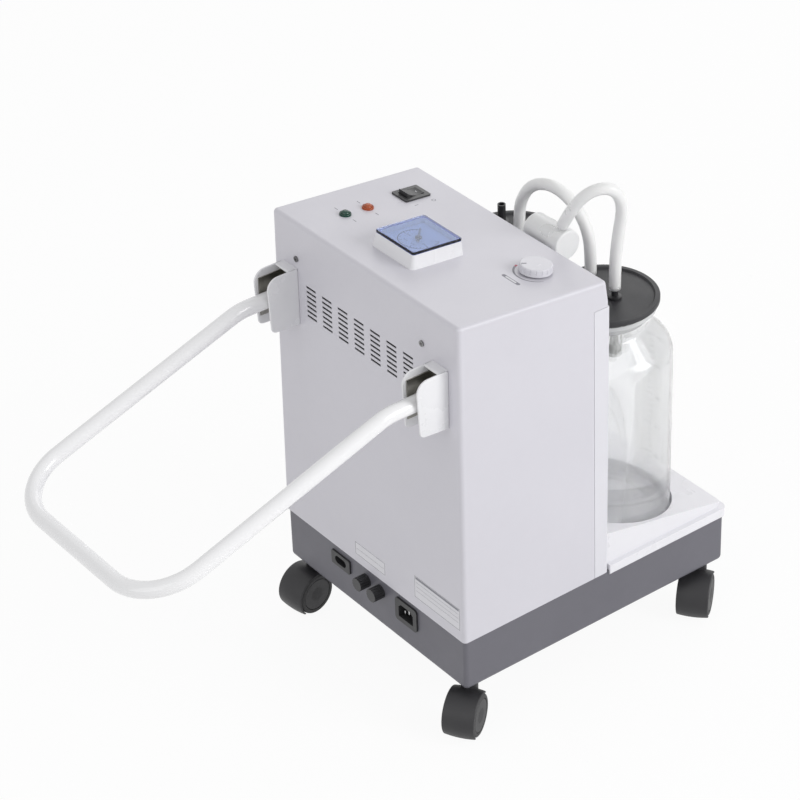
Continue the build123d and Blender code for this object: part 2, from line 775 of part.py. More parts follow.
with BuildPart() as handle_bushes:
    for arm_x in arm_places.values():
        with BuildSketch(Plane(origin=(arm_x, pivot_y - tube_end, stub_z), z_dir=(0, 1, 0))):
            Circle(handle_tube / 2 - handle_wall - seat_gap)
        extrude(amount=2.4 * tube_end)
        with BuildSketch(Plane(origin=(arm_x, pivot_y, pivot_z), z_dir=(1, 0, 0))):
            Circle(pin_radius + running_gap)
        extrude(amount=handle_tube, both=True, mode=Mode.SUBTRACT)
finish(handle_bushes, "handle_bushes")


# Jars: blown glass, turned about their own axes
def jar_profile(inset):
    """Half section of a jar, shrunk by inset from its outer surface."""
    base_level = z_at(pocket_floor + body_gap) + inset
    with BuildSketch(Plane.XZ) as section:
        with BuildLine():
            Polyline(
                (0, base_level),
                (jar_radius - inset, base_level),
                (jar_radius - inset, z_at(jar_shoulder) - 0.4 * inset),
                (neck_radius - inset, z_at(jar_neck_foot) - 0.4 * inset),
                (neck_radius - inset, z_at(jar_mouth)),
                (0, z_at(jar_mouth)),
                close=True,
            )
        make_face()
        heel = section.vertices().sort_by(Axis.Y).filter_by_position(Axis.X, jar_radius - inset - 1, jar_radius)
        fillet(heel[0], radius=10 - inset)
        shoulder = section.vertices().filter_by_position(Axis.X, jar_radius - inset - 1, jar_radius)
        fillet(shoulder.sort_by(Axis.Y)[-1], radius=26 - inset)
        foot = section.vertices().filter_by_position(Axis.X, neck_radius - inset - 1, neck_radius - inset + 1)
        fillet(foot.sort_by(Axis.Y)[0], radius=6 + inset)
    return section.sketch


jar_outer = jar_profile(0.0)
jar_inner = jar_profile(jar_wall)
jar_places = {"right": -jar_x, "left": jar_x}

for side, x in jar_places.items():
    with BuildPart() as jar:
        with BuildSketch(Plane.XZ):
            add(jar_outer)
            add(jar_inner, mode=Mode.SUBTRACT)
        revolve(axis=Axis.Z)
        # the mouth flares out into a thick lip under the lid
        with BuildSketch(Plane.XZ):
            with BuildLine():
                Polyline(
                    (neck_radius - jar_wall, z_at(jar_mouth)),
                    (neck_radius - jar_wall, z_at(jar_mouth - lip_tall)),
                    (neck_radius, z_at(jar_mouth - lip_tall)),
                    (lip_radius, z_at(jar_mouth - 4)),
                    (lip_radius, z_at(jar_mouth - 1)),
                    (lip_radius - 1, z_at(jar_mouth)),
                    close=True,
                )
            make_face()
        revolve(axis=Axis.Z)
    jar.part.locate(Location((x, y_at(jar_depth), 0)))
    finish(jar, f"jar_{side}")


# Lids: soft rubber stoppers with holes for the spigots
lid_seat = jar_mouth + body_gap
lid_deck = lid_top - 2.2
plug_radius = neck_radius - jar_wall - body_gap
plug_skin = 4.2
stem_outer, stem_inner = 3.5, 2.4
port_outer, port_inner = 4.4, 3.0
near_pump = (-83.5, 252.0)
near_link = (-45.7, 252.3)
far_link = (63.0, 248.0)
far_port = (107.0, 260.0)
lid_holes = {
    "right": ((*near_pump, stem_outer), (*near_link, stem_outer)),
    "left": ((*far_link, stem_outer), (*far_port, port_outer)),
}

for side, x in jar_places.items():
    with BuildPart() as lid:
        with BuildSketch(Plane.XZ):
            with BuildLine():
                Polyline(
                    (0, z_at(jar_mouth + 2)),
                    (plug_radius - plug_skin, z_at(jar_mouth + 2)),
                    (plug_radius - plug_skin, z_at(jar_mouth - plug_depth)),
                    (plug_radius, z_at(jar_mouth - plug_depth)),
                    (plug_radius, z_at(lid_seat)),
                    (lip_radius, z_at(lid_seat)),
                    (lid_radius, z_at(lid_top - lid_thickness + 1.5)),
                    (lid_radius, z_at(lid_top - 1)),
                    (lid_radius - 1, z_at(lid_top)),
                    (lid_radius - 5, z_at(lid_top)),
                    (lid_radius - 6.5, z_at(lid_deck)),
                    (0, z_at(lid_deck)),
                    close=True,
                )
            make_face()
        revolve(axis=Axis.Z)
        for hole_x, hole_depth, hole_radius in lid_holes[side]:
            with BuildSketch(Plane.XY.offset(z_at(jar_mouth - plug_depth - 1))):
                with Locations((hole_x - x, y_at(hole_depth) - y_at(jar_depth))):
                    Circle(hole_radius + seat_gap)
            extrude(amount=plug_depth + lid_top - jar_mouth + 2, mode=Mode.SUBTRACT)
    lid.part.locate(Location((x, y_at(jar_depth), 0)))
    finish(lid, f"lid_{side}")


# Hose spigots with two barbs each, and the open port for the patient tube
spigot_tip = 360.0
float_stop = 304.0


def spigot(foot, tip):
    """One barbed spigot on the Z axis, with its flange on the lid."""
    with BuildPart() as barbed:
        with BuildSketch(Plane.XZ):
            with BuildLine():
                Polyline(
                    (stem_inner, z_at(foot)),
                    (stem_outer, z_at(foot)),
                    (stem_outer, z_at(lid_deck + seat_gap)),
                    (2 * stem_outer, z_at(lid_deck + seat_gap)),
                    (2 * stem_outer, z_at(lid_deck + 2.4)),
                    (stem_outer, z_at(lid_deck + 3.4)),
                    (stem_outer, z_at(tip - 13)),
                    (spigot_radius, z_at(tip - 13)),
                    (stem_outer, z_at(tip - 7)),
                    (spigot_radius, z_at(tip - 7)),
                    (stem_outer - 0.2, z_at(tip)),
                    (stem_inner, z_at(tip)),
                    close=True,
                )
            make_face()
        revolve(axis=Axis.Z)
    return barbed.part


short_spigot = spigot(jar_mouth - 2, spigot_tip)
long_spigot = spigot(float_stop, spigot_tip)

with BuildPart() as lid_spigots:
    add(long_spigot.moved(Location((near_pump[0], y_at(near_pump[1]), 0))))
    add(short_spigot.moved(Location((near_link[0], y_at(near_link[1]), 0))))
    add(short_spigot.moved(Location((far_link[0], y_at(far_link[1]), 0))))
finish(lid_spigots, "lid_spigots")

port_top = 354.0

with BuildPart() as patient_port:
    with BuildSketch(Plane.XY.offset(z_at(jar_mouth - plug_depth - 3))):
        with Locations((far_port[0], y_at(far_port[1]))):
            Circle(port_outer)
            Circle(port_inner, mode=Mode.SUBTRACT)
    extrude(amount=port_top - jar_mouth + plug_depth + 3)
    with BuildSketch(Plane.XY.offset(z_at(lid_deck + seat_gap))):
        with Locations((far_port[0], y_at(far_port[1]))):
            Circle(port_outer + 3.4)
            Circle(port_inner, mode=Mode.SUBTRACT)
    extrude(amount=2.4)
finish(patient_port, "patient_port")


# Overflow float: a slotted cage under the pump spigot with a ball inside
cage_radius, cage_wall = 8.0, 1.2
cage_low, cage_high = 265.0, 312.0
ball_radius = 6.3

with BuildPart() as float_cage:
    with BuildSketch(Plane.XY.offset(z_at(cage_low))):
        with Locations((near_pump[0], y_at(near_pump[1]))):
            Circle(cage_radius)
    extrude(amount=cage_high - cage_low)
    with BuildSketch(Plane.XY.offset(z_at(cage_low + 1.5))):
        with Locations((near_pump[0], y_at(near_pump[1]))):
            Circle(cage_radius - cage_wall)
    extrude(amount=cage_high - cage_low - 3.5, mode=Mode.SUBTRACT)
    with BuildSketch(Plane.XY.offset(z_at(cage_low))):
        with Locations((near_pump[0], y_at(near_pump[1]))):
            Circle(stem_outer + seat_gap)
    extrude(amount=cage_high - cage_low, mode=Mode.SUBTRACT)
    for turn in (0, 90):
        cage_middle = (near_pump[0], y_at(near_pump[1]), z_at((cage_low + float_stop) / 2))
        slot_face = Plane(origin=cage_middle, z_dir=(cos(radians(turn)), sin(radians(turn)), 0))
        with BuildSketch(slot_face):
            SlotOverall(float_stop - cage_low - 10, 5, rotation=90 if slot_face.x_dir.Z == 0 else 0)
        extrude(amount=cage_radius, both=True, mode=Mode.SUBTRACT)
finish(float_cage, "float_cage")

with BuildPart() as float_ball:
    with Locations((near_pump[0], y_at(near_pump[1]), z_at(cage_low + 1.5 + body_gap + ball_radius))):
        Sphere(ball_radius)
finish(float_ball, "float_ball")


# Filter: a clear canister lying across, pushed onto the elbow in the front panel
filter_skin = 1.6
cap_end, cap_joint, bowl_end = -66.0, -50.0, -12.0
nozzle_turn = 28.3
nozzle_root_x = -47.3
nozzle_reach = 29.0

with BuildPart() as filter_bowl:
    with BuildSketch(Plane(origin=(cap_joint + seat_gap, y_at(filter_depth), z_at(filter_height)), z_dir=(1, 0, 0))):
        Circle(filter_radius)
    extrude(amount=bowl_end - cap_joint - seat_gap)
    fillet(filter_bowl.faces().sort_by(Axis.X)[-1].edges(), radius=4)
    with BuildSketch(Plane.XY.offset(z_at(filter_height))):
        with Locations((spigot_x, y_at(filter_depth))):
            Circle(elbow_radius + body_gap + 2.2)
    extrude(amount=-29.0)
    with BuildSketch(Plane(origin=(cap_joint, y_at(filter_depth), z_at(filter_height)), z_dir=(1, 0, 0))):
        Circle(filter_radius - filter_skin)
    extrude(amount=bowl_end - cap_joint - 1.5 * filter_skin, mode=Mode.SUBTRACT)
    with BuildSketch(Plane.XY.offset(z_at(filter_height))):
        with Locations((spigot_x, y_at(filter_depth))):
            Circle(elbow_radius + body_gap)
    extrude(amount=-40.0, mode=Mode.SUBTRACT)
finish(filter_bowl, "filter_bowl")

nozzle_way = Vector(-sin(radians(nozzle_turn)), 0, cos(radians(nozzle_turn)))
nozzle_root = Vector(nozzle_root_x, y_at(filter_depth), z_at(filter_height))

with BuildPart() as filter_cap:
    with BuildSketch(Plane(origin=nozzle_root, z_dir=nozzle_way)):
        Circle(stem_outer)
    extrude(amount=nozzle_reach)
    for reach in (nozzle_reach - 8, nozzle_reach - 4):
        with BuildSketch(Plane(origin=nozzle_root + nozzle_way * reach, z_dir=nozzle_way)):
            Circle(spigot_radius)
        extrude(amount=3.6, taper=9)
    with BuildSketch(Plane(origin=(cap_end, y_at(filter_depth), z_at(filter_height)), z_dir=(1, 0, 0))):
        Circle(filter_radius + 1)
    extrude(amount=cap_joint - cap_end)
    fillet(filter_cap.faces().sort_by(Axis.X)[0].edges(), radius=2)
    with BuildSketch(Plane(origin=(cap_end + 2, y_at(filter_depth), z_at(filter_height)), z_dir=(1, 0, 0))):
        Circle(filter_radius - filter_skin)
    extrude(amount=bowl_end - cap_end, mode=Mode.SUBTRACT)
    with BuildSketch(Plane(origin=nozzle_root, z_dir=nozzle_way)):
        Circle(stem_inner)
    extrude(amount=nozzle_reach, mode=Mode.SUBTRACT)
finish(filter_cap, "filter_cap")

with BuildPart() as filter_element:
    with BuildSketch(Plane(origin=(cap_end + 5, y_at(filter_depth), z_at(filter_height)), z_dir=(1, 0, 0))):
        Circle(filter_radius - filter_skin - seat_gap)
    extrude(amount=3.0)
    with BuildSketch(Plane(origin=(cap_end + 5, y_at(filter_depth), z_at(filter_height)), z_dir=(1, 0, 0))):
        Circle(filter_radius - filter_skin - 4)
        Circle(4, mode=Mode.SUBTRACT)
    extrude(amount=bowl_end - cap_end - 25)
finish(filter_element, "filter_element")

elbow_top = 383.0

with BuildPart() as suction_elbow:
    with BuildLine() as elbow_path:
        FilletPolyline(
            (spigot_x, y_at(cover_depth - 20), z_at(elbow_height)),
            (spigot_x, y_at(filter_depth), z_at(elbow_height)),
            (spigot_x, y_at(filter_depth), z_at(elbow_top)),
            radius=7.0,
        )
    with BuildSketch(Plane(origin=elbow_path.line @ 0, z_dir=(0, -1, 0))):
        Circle(elbow_radius)
        Circle(elbow_radius - 1.6, mode=Mode.SUBTRACT)
    sweep()
finish(suction_elbow, "suction_elbow")


# Hoses: straight runs joined by arcs
def hose(places, name):
    """Tube through these places, each given as x, depth and height."""
    points = [Vector(x, y_at(depth), z_at(height)) for x, depth, height in places]
    runs = [after - before for before, after in zip(points, points[1:])]
    radii = [
        0.45 * min(run.length, following.length) / tan(radians(run.get_angle(following)) / 2)
        for run, following in zip(runs, runs[1:])
    ]
    with BuildPart() as tube:
        with BuildLine() as path:
            FilletPolyline(*points, radius=radii)
        with BuildSketch(Plane(origin=path.line @ 0, z_dir=path.line % 0)):
            Circle(hose_diameter / 2)
            Circle(hose_bore / 2, mode=Mode.SUBTRACT)
        sweep()
    finish(tube, name)
    return tube


pump_hose = hose([
    (-58.0, 205.0, 422.9), (-65.1, 205.0, 436.0), (-74.5, 208.5, 453.0), (-84.0, 215.0, 467.0),
    (-94.0, 226.0, 473.5), (-99.5, 238.0, 468.0), (-98.0, 247.0, 452.0), (-93.0, 252.0, 434.0),
    (-87.5, 253.5, 413.0), (-84.5, 253.0, 391.0), (-83.5, 252.0, 368.0), (-83.5, 252.0, 343.0),
], "pump_hose")

jumper_hose = hose([
    (63.0, 248.0, 343.0), (63.0, 248.0, 366.0), (58.6, 247.3, 385.0), (44.2, 246.3, 407.0),
    (24.9, 246.0, 420.0), (2.3, 247.0, 424.7), (-17.2, 249.0, 418.5), (-30.4, 250.8, 407.3),
    (-40.1, 252.0, 392.7), (-45.7, 252.3, 373.0), (-45.7, 252.3, 343.0),
], "jumper_hose")


# Casters: a steel stem in the base, a swivelling cowl and a pair of wheels
stem_foot = 44.0
boss_top = 57.0
base_under = level_zero - base_floor
axle_radius = 3.0

with BuildPart() as caster_stems:
    with BuildSketch(Plane.XY.offset(stem_foot)):
        with Locations(*stem_places):
            Circle(stem_radius)
    extrude(amount=z_at(boss_height - 2 * wall) - stem_foot)
    with BuildSketch(Plane.XY.offset(boss_top + 1.0)):
        with Locations(*stem_places):
            Circle(stem_radius + 3)
    extrude(amount=base_under - boss_top - 1.0 - seat_gap)
finish(caster_stems, "caster_stems")


hood_start, hood_sweep = -40.0, 165.0
hood_edge = 1.2
along = Plane(origin=(0, 0, 0), x_dir=(1, 0, 0), z_dir=(0, -1, 0))
axle_middle = Vector(caster_trail, 0, wheel_radius)
half_cowl = web_width / 2 + wheel_width + 1.0
start_turn = radians(hood_start)
hood_plane = Plane(origin=axle_middle, x_dir=(0, 1, 0), z_dir=(sin(start_turn), 0, -cos(start_turn)))

with BuildPart() as cowl_shape:
    with BuildSketch(Plane.XY.offset(wheel_radius)):
        Circle(stem_radius + 3.5)
    extrude(amount=boss_top - wheel_radius)
    with BuildSketch(along):
        with Locations((caster_trail, wheel_radius)):
            Circle(wheel_radius + cowl_clear)
    extrude(amount=half_cowl + 1, both=True, mode=Mode.SUBTRACT)
    # the hood is turned about the axle, crowned across its width and rounded at both rims
    with BuildSketch(hood_plane):
        with BuildLine():
            crown = ThreePointArc(
                (-half_cowl + hood_edge, cowl_radius - cowl_crown), (0, cowl_radius),
                (half_cowl - hood_edge, cowl_radius - cowl_crown),
            )
            TangentArc(crown @ 1, (half_cowl, cowl_radius - cowl_crown - hood_edge), tangent=crown % 1)
            Polyline(
                (half_cowl, cowl_radius - cowl_crown - hood_edge),
                (half_cowl, wheel_radius + cowl_clear),
                (-half_cowl, wheel_radius + cowl_clear),
                (-half_cowl, cowl_radius - cowl_crown - hood_edge),
            )
            TangentArc(crown @ 0, (-half_cowl, cowl_radius - cowl_crown - hood_edge), tangent=-(crown % 0))
        make_face()
    revolve(axis=Axis(axle_middle, (0, -1, 0)), revolution_arc=hood_sweep)
    with BuildSketch(along):
        with BuildLine():
            Polyline(
                (-stem_radius, wheel_radius - 4),
                (caster_trail - 4, wheel_radius - 8),
                (caster_trail + 6, wheel_radius - 5),
                (caster_trail + cowl_radius - 3, wheel_radius + 2),
                (caster_trail + cowl_radius * 0.7, wheel_radius + cowl_radius * 0.66),
                (caster_trail, wheel_radius + cowl_radius - 1),
                (-stem_radius, stem_foot),
                close=True,
            )
        make_face()
    extrude(amount=web_width / 2, both=True)
    with BuildSketch(Plane.XY.offset(stem_foot - body_gap)):
        Circle(stem_radius + running_gap)
    extrude(amount=boss_top, mode=Mode.SUBTRACT)
    with BuildSketch(along):
        with Locations((caster_trail, wheel_radius)):
            Circle(axle_radius + running_gap)
    extrude(amount=half_cowl, both=True, mode=Mode.SUBTRACT)

wheel_inner = web_width / 2 + 0.4

with BuildPart() as wheel_pair:
    for way in (-1, 1):
        with BuildSketch(Plane(origin=(caster_trail, way * wheel_inner, wheel_radius), z_dir=(0, way, 0))):
            Circle(wheel_radius)
        extrude(amount=wheel_width)
    tread_edges = wheel_pair.edges().filter_by(GeomType.CIRCLE)
    fillet(tread_edges, radius=2.5)
    for way in (-1, 1):
        outer = way * (wheel_inner + wheel_width)
        with BuildSketch(Plane(origin=(caster_trail, outer, wheel_radius), z_dir=(0, way, 0))):
            Circle(wheel_radius - 5)
            Circle(8, mode=Mode.SUBTRACT)
        extrude(amount=-2.5, mode=Mode.SUBTRACT)
    with BuildSketch(Plane(origin=(caster_trail, 0, wheel_radius), z_dir=(0, 1, 0))):
        Circle(axle_radius)
    extrude(amount=wheel_inner + 2, both=True)

for name, (x, y, turn) in caster_places.items():
    with BuildPart() as cowl:
        add(cowl_shape.part.moved(Location((x, y, 0), (0, 0, turn))))
    finish(cowl, f"caster_cowl_{name}")
    with BuildPart() as wheels:
        add(wheel_pair.part.moved(Location((x, y, 0), (0, 0, turn))))
    finish(wheels, f"caster_wheels_{name}")


# Vacuum pump: a motor between two crankcases, each with a cylinder and a head
pump_depth = 85.0
foot_tall, foot_radius = 15.0, 10.0
motor_radius, motor_half = 48.0, 50.0
case_thick, case_long, case_tall = 36.0, 76.0, 86.0
shaft_radius = 5.0
barrel_radius, barrel_tall = 25.0, 38.0
head_side, head_tall = 58.0, 14.0
fan_radius, fan_thick = 42.0, 12.0
case_low = base_height + foot_tall + seat_gap
shaft_height = case_low + case_tall / 2
case_inner = motor_half + seat_gap
case_middle = case_inner + case_thick / 2
case_top = case_low + case_tall
shaft_origin = (0, y_at(pump_depth), z_at(shaft_height))

with BuildPart() as pump_feet:
    with BuildSketch(Plane.XY.offset(z_at(base_height))):
        with Locations((0, y_at(pump_depth))):
            with GridLocations(2 * case_middle, case_long - 3 * foot_radius + 8, 2, 2):
                Circle(foot_radius)
    extrude(amount=foot_tall)
finish(pump_feet, "pump_feet")

with BuildPart() as pump_crankcases:
    for way in (-1, 1):
        with BuildSketch(Plane(origin=(way * case_inner, *shaft_origin[1:]), x_dir=(0, 1, 0), z_dir=(way, 0, 0))):
            RectangleRounded(case_long, case_tall, 10)
        extrude(amount=case_thick)
        with BuildSketch(Plane(origin=(way * (case_inner + 5), *shaft_origin[1:]), z_dir=(way, 0, 0))):
            Circle(28)
        extrude(amount=case_thick - 10, mode=Mode.SUBTRACT)
    with BuildSketch(Plane(origin=shaft_origin, z_dir=(1, 0, 0))):
        Circle(shaft_radius + running_gap)
    extrude(amount=case_inner + case_thick, both=True, mode=Mode.SUBTRACT)
finish(pump_crankcases, "pump_crankcases")

with BuildPart() as pump_cylinders:
    with BuildSketch(Plane.XY.offset(z_at(case_top + seat_gap))):
        with Locations((-case_middle, y_at(pump_depth)), (case_middle, y_at(pump_depth))):
            Circle(barrel_radius)
            Circle(barrel_radius - 4, mode=Mode.SUBTRACT)
    extrude(amount=barrel_tall)
    for level in range(5):
        with BuildSketch(Plane.XY.offset(z_at(case_top + 5 + 7 * level))):
            with Locations((-case_middle, y_at(pump_depth)), (case_middle, y_at(pump_depth))):
                Circle(barrel_radius + 4)
                Circle(barrel_radius - 4, mode=Mode.SUBTRACT)
        extrude(amount=2.0)
finish(pump_cylinders, "pump_cylinders")

with BuildPart() as cylinder_heads:
    with BuildSketch(Plane.XY.offset(z_at(case_top + barrel_tall + 2 * seat_gap))):
        with Locations((-case_middle, y_at(pump_depth)), (case_middle, y_at(pump_depth))):
            RectangleRounded(head_side, head_side, 6)
    extrude(amount=head_tall)
    for way in (-1, 1):
        with BuildSketch(Plane.XY.offset(z_at(case_top + barrel_tall + head_tall))):
            with Locations((way * case_middle, y_at(pump_depth) - head_side / 4)):
                Circle(spigot_radius)
        extrude(amount=14.0)
finish(cylinder_heads, "cylinder_heads")

with BuildPart() as motor_housing:
    with BuildSketch(Plane(origin=shaft_origin, z_dir=(1, 0, 0))):
        Circle(motor_radius - 6)
        Circle(shaft_radius + running_gap, mode=Mode.SUBTRACT)
    extrude(amount=motor_half, both=True)
    with BuildSketch(Plane(origin=shaft_origin, x_dir=(0, 1, 0), z_dir=(1, 0, 0))):
        RectangleRounded(2 * motor_radius, 2 * motor_radius - 14, 14)
        Circle(motor_radius - 10, mode=Mode.SUBTRACT)
    extrude(amount=motor_half - 14, both=True)
finish(motor_housing, "motor_housing")

with BuildPart() as rotor_shaft:
    with BuildSketch(Plane(origin=shaft_origin, z_dir=(1, 0, 0))):
        Circle(shaft_radius)
    extrude(amount=case_inner + case_thick + fan_thick + 6, both=True)
    for way in (-1, 1):
        with BuildSketch(Plane(origin=(way * (case_inner + 9), *shaft_origin[1:]), z_dir=(way, 0, 0))):
            with Locations((0, 6 * way)):
                Circle(14)
        extrude(amount=case_thick - 18)
finish(rotor_shaft, "rotor_shaft")

with BuildPart() as cooling_fans:
    for way in (-1, 1):
        fan_x = way * (case_inner + case_thick + 3)
        with BuildSketch(Plane(origin=(fan_x, *shaft_origin[1:]), z_dir=(way, 0, 0))):
            Circle(12)
            with PolarLocations(fan_radius / 2, 7):
                Rectangle(fan_radius, 4)
            Circle(shaft_radius + seat_gap, mode=Mode.SUBTRACT)
        extrude(amount=fan_thick)
finish(cooling_fans, "cooling_fans")

muffler_depth = 157.0

with BuildPart() as exhaust_muffler:
    with BuildSketch(Plane.XY.offset(z_at(base_height))):
        with Locations((0, y_at(muffler_depth))):
            Circle(13)
    extrude(amount=70.0)
    fillet(exhaust_muffler.faces().sort_by(Axis.Z)[-1].edges(), radius=5)
    with BuildSketch(Plane.XY.offset(z_at(base_height + 68))):
        with Locations((0, y_at(muffler_depth))):
            Circle(spigot_radius)
    extrude(amount=16.0)
finish(exhaust_muffler, "exhaust_muffler")
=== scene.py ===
"""Looks of the twin-jar vacuum aspirator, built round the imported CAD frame. Metres, +Z up."""
import bmesh
import bpy
from math import atan2, cos, pi, radians, sin, tan
from mathutils import Matrix, Vector


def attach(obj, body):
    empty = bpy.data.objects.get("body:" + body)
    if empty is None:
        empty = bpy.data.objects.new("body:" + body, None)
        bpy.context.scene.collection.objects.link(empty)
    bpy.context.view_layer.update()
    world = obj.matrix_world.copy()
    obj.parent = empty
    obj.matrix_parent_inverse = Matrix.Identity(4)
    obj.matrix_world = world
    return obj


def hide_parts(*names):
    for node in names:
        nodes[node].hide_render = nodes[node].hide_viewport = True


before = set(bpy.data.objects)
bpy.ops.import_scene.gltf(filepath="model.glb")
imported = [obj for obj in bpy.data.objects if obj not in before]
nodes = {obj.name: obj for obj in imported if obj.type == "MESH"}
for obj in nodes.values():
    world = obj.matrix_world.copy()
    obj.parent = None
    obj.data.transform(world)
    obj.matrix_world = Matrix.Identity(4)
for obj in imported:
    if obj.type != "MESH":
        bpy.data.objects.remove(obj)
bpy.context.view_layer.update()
MM = 0.001

# Sizes shared with the CAD model, in millimetres
BACK_Y = -0.46625
LEVEL_ZERO = 64.0
COVER_DEPTH, COVER_BACK_TOP, COVER_FRONT_TOP, BROW_LEAN = 187.0, 429.0, 409.5, 3.4
COVER_WALL = 3.0
TOP_SLOPE = atan2(COVER_BACK_TOP - COVER_FRONT_TOP, COVER_DEPTH - BROW_LEAN)
TOP_NORMAL = Vector((0, -sin(TOP_SLOPE), cos(TOP_SLOPE)))
BACK_LEAN = radians(0.6)
BASE_BEHIND = 2.0
UPRIGHT = Matrix(((-1, 0, 0), (0, 0, 1), (0, 1, 0))).to_4x4()
JAR_X, JAR_DEPTH, JAR_RADIUS = 72.5, 247.0, 71.5
PRINT = 0.06


def place(x, depth, height):
    """Metres from an x, a depth before the back panel and a height over the base's inside floor."""
    return Vector((x, BACK_Y - depth, LEVEL_ZERO + height)) * MM


def on_top(x, depth, lift=0.0):
    """Matrix of a spot on the sloping top: X to the side, Y up the slope, Z out of the cover."""
    height = COVER_BACK_TOP - depth * tan(TOP_SLOPE)
    spot = place(x, depth, height) + TOP_NORMAL * lift * MM
    return Matrix.Translation(spot) @ Matrix.Rotation(TOP_SLOPE, 4, "X")


def on_cover_back(x, height, out=0.0):
    """Matrix of a spot on the leaning back of the cover: X to the viewer's right, Y up, Z out of it."""
    behind = (COVER_BACK_TOP - height) * tan(BACK_LEAN) + out
    return Matrix.Translation(place(x, -behind, height)) @ Matrix.Rotation(BACK_LEAN, 4, "X") @ UPRIGHT


def on_base_back(x, height, out=0.0):
    """Matrix of a spot on the back of the base: X to the viewer's right, Y up, Z out of it."""
    return Matrix.Translation(place(x, -BASE_BEHIND - out, height)) @ UPRIGHT


# Camera, at the photograph's place
camera = bpy.data.objects.new("camera", bpy.data.cameras.new("camera"))
bpy.context.scene.collection.objects.link(camera)
camera.data.lens = 134.376
camera.data.sensor_width = 36.0
camera.data.clip_end = 50.0
look_right = Vector((-0.6079227, -0.7933814, -0.0312408))
look_up = Vector((0.4252662, -0.3585794, 0.8310051))
look_along = Vector((0.6705063, -0.4919012, -0.5553868))
camera.matrix_world = (
    Matrix.Translation((-2.01574, 1.43837, 1.98999))
    @ Matrix((look_right, look_up, -look_along)).transposed().to_4x4()
)
bpy.context.scene.camera = camera


# Shared shader groups
def group(name, inputs, outputs):
    """A node group with named sockets; returns the group with its input and output nodes."""
    tree = bpy.data.node_groups.new(name, "ShaderNodeTree")
    for label, kind, value in inputs:
        socket = tree.interface.new_socket(name=label, in_out="INPUT", socket_type=kind)
        if value is not None:
            socket.default_value = value
    for label, kind in outputs:
        tree.interface.new_socket(name=label, in_out="OUTPUT", socket_type=kind)
    return tree, tree.nodes.new("NodeGroupInput"), tree.nodes.new("NodeGroupOutput")


def noise(tree, where, scale, detail=4.0, rough=0.55):
    """A noise texture read at where; scale is a socket or a number."""
    node = tree.nodes.new("ShaderNodeTexNoise")
    node.inputs["Detail"].default_value = detail
    node.inputs["Roughness"].default_value = rough
    tree.links.new(where, node.inputs["Vector"])
    if isinstance(scale, float):
        node.inputs["Scale"].default_value = scale
    else:
        tree.links.new(scale, node.inputs["Scale"])
    return node.outputs["Fac"]


def math_node(tree, operation, *values, clamp=False):
    """A math node on sockets and numbers."""
    node = tree.nodes.new("ShaderNodeMath")
    node.operation = operation
    node.use_clamp = clamp
    for slot, value in zip(node.inputs, values):
        if isinstance(value, (int, float)):
            slot.default_value = value
        else:
            tree.links.new(value, slot)
    return node.outputs[0]


def build_tint():
    """Slow drift of a colour between itself and a second one, as on handled plastic and paint."""
    tree, source, result = group(
        "tint_drift",
        [("Vector", "NodeSocketVector", None), ("Colour", "NodeSocketColor", (0.8, 0.8, 0.8, 1)),
         ("Second", "NodeSocketColor", (0.7, 0.7, 0.7, 1)), ("Scale", "NodeSocketFloat", 6.0)],
        [("Colour", "NodeSocketColor")],
    )
    wide = noise(tree, source.outputs["Vector"], source.outputs["Scale"], 3.0)
    fine_scale = math_node(tree, "MULTIPLY", source.outputs["Scale"], 14.0)
    fine = noise(tree, source.outputs["Vector"], fine_scale, 5.0, 0.7)
    wide_share = math_node(tree, "MULTIPLY", wide, 0.7)
    fine_share = math_node(tree, "MULTIPLY", fine, 0.3)
    both = math_node(tree, "ADD", wide_share, fine_share)
    share = math_node(tree, "MULTIPLY", math_node(tree, "SUBTRACT", both, 0.38), 3.0, clamp=True)
    blend = tree.nodes.new("ShaderNodeMix")
    blend.data_type = "RGBA"
    tree.links.new(share, blend.inputs["Factor"])
    tree.links.new(source.outputs["Colour"], blend.inputs["A"])
    tree.links.new(source.outputs["Second"], blend.inputs["B"])
    tree.links.new(blend.outputs["Result"], result.inputs["Colour"])
    return tree


def build_grain():
    """Height of a spark-eroded mould surface: fine pits with a softer swell under them."""
    tree, source, result = group(
        "mould_grain",
        [("Vector", "NodeSocketVector", None), ("Scale", "NodeSocketFloat", 1500.0),
         ("Swell", "NodeSocketFloat", 0.3)],
        [("Height", "NodeSocketFloat")],
    )
    pits = tree.nodes.new("ShaderNodeTexVoronoi")
    tree.links.new(source.outputs["Vector"], pits.inputs["Vector"])
    tree.links.new(source.outputs["Scale"], pits.inputs["Scale"])
    broad_scale = math_node(tree, "MULTIPLY", source.outputs["Scale"], 0.012)
    broad = noise(tree, source.outputs["Vector"], broad_scale, 2.0)
    swell = math_node(tree, "MULTIPLY", broad, source.outputs["Swell"])
    height = math_node(tree, "ADD", pits.outputs["Distance"], swell)
    tree.links.new(height, result.inputs["Height"])
    return tree


def build_sheen():
    """Roughness that wanders between two values, as where hands and cloths have polished a surface."""
    tree, source, result = group(
        "polish_drift",
        [("Vector", "NodeSocketVector", None), ("Smooth", "NodeSocketFloat", 0.3),
         ("Dull", "NodeSocketFloat", 0.45), ("Scale", "NodeSocketFloat", 18.0)],
        [("Roughness", "NodeSocketFloat")],
    )
    wander = noise(tree, source.outputs["Vector"], source.outputs["Scale"], 6.0, 0.6)
    share = math_node(tree, "MULTIPLY", math_node(tree, "SUBTRACT", wander, 0.3), 2.5, clamp=True)
    span = math_node(tree, "SUBTRACT", source.outputs["Dull"], source.outputs["Smooth"])
    level = math_node(tree, "ADD", source.outputs["Smooth"], math_node(tree, "MULTIPLY", share, span))
    tree.links.new(level, result.inputs["Roughness"])
    return tree


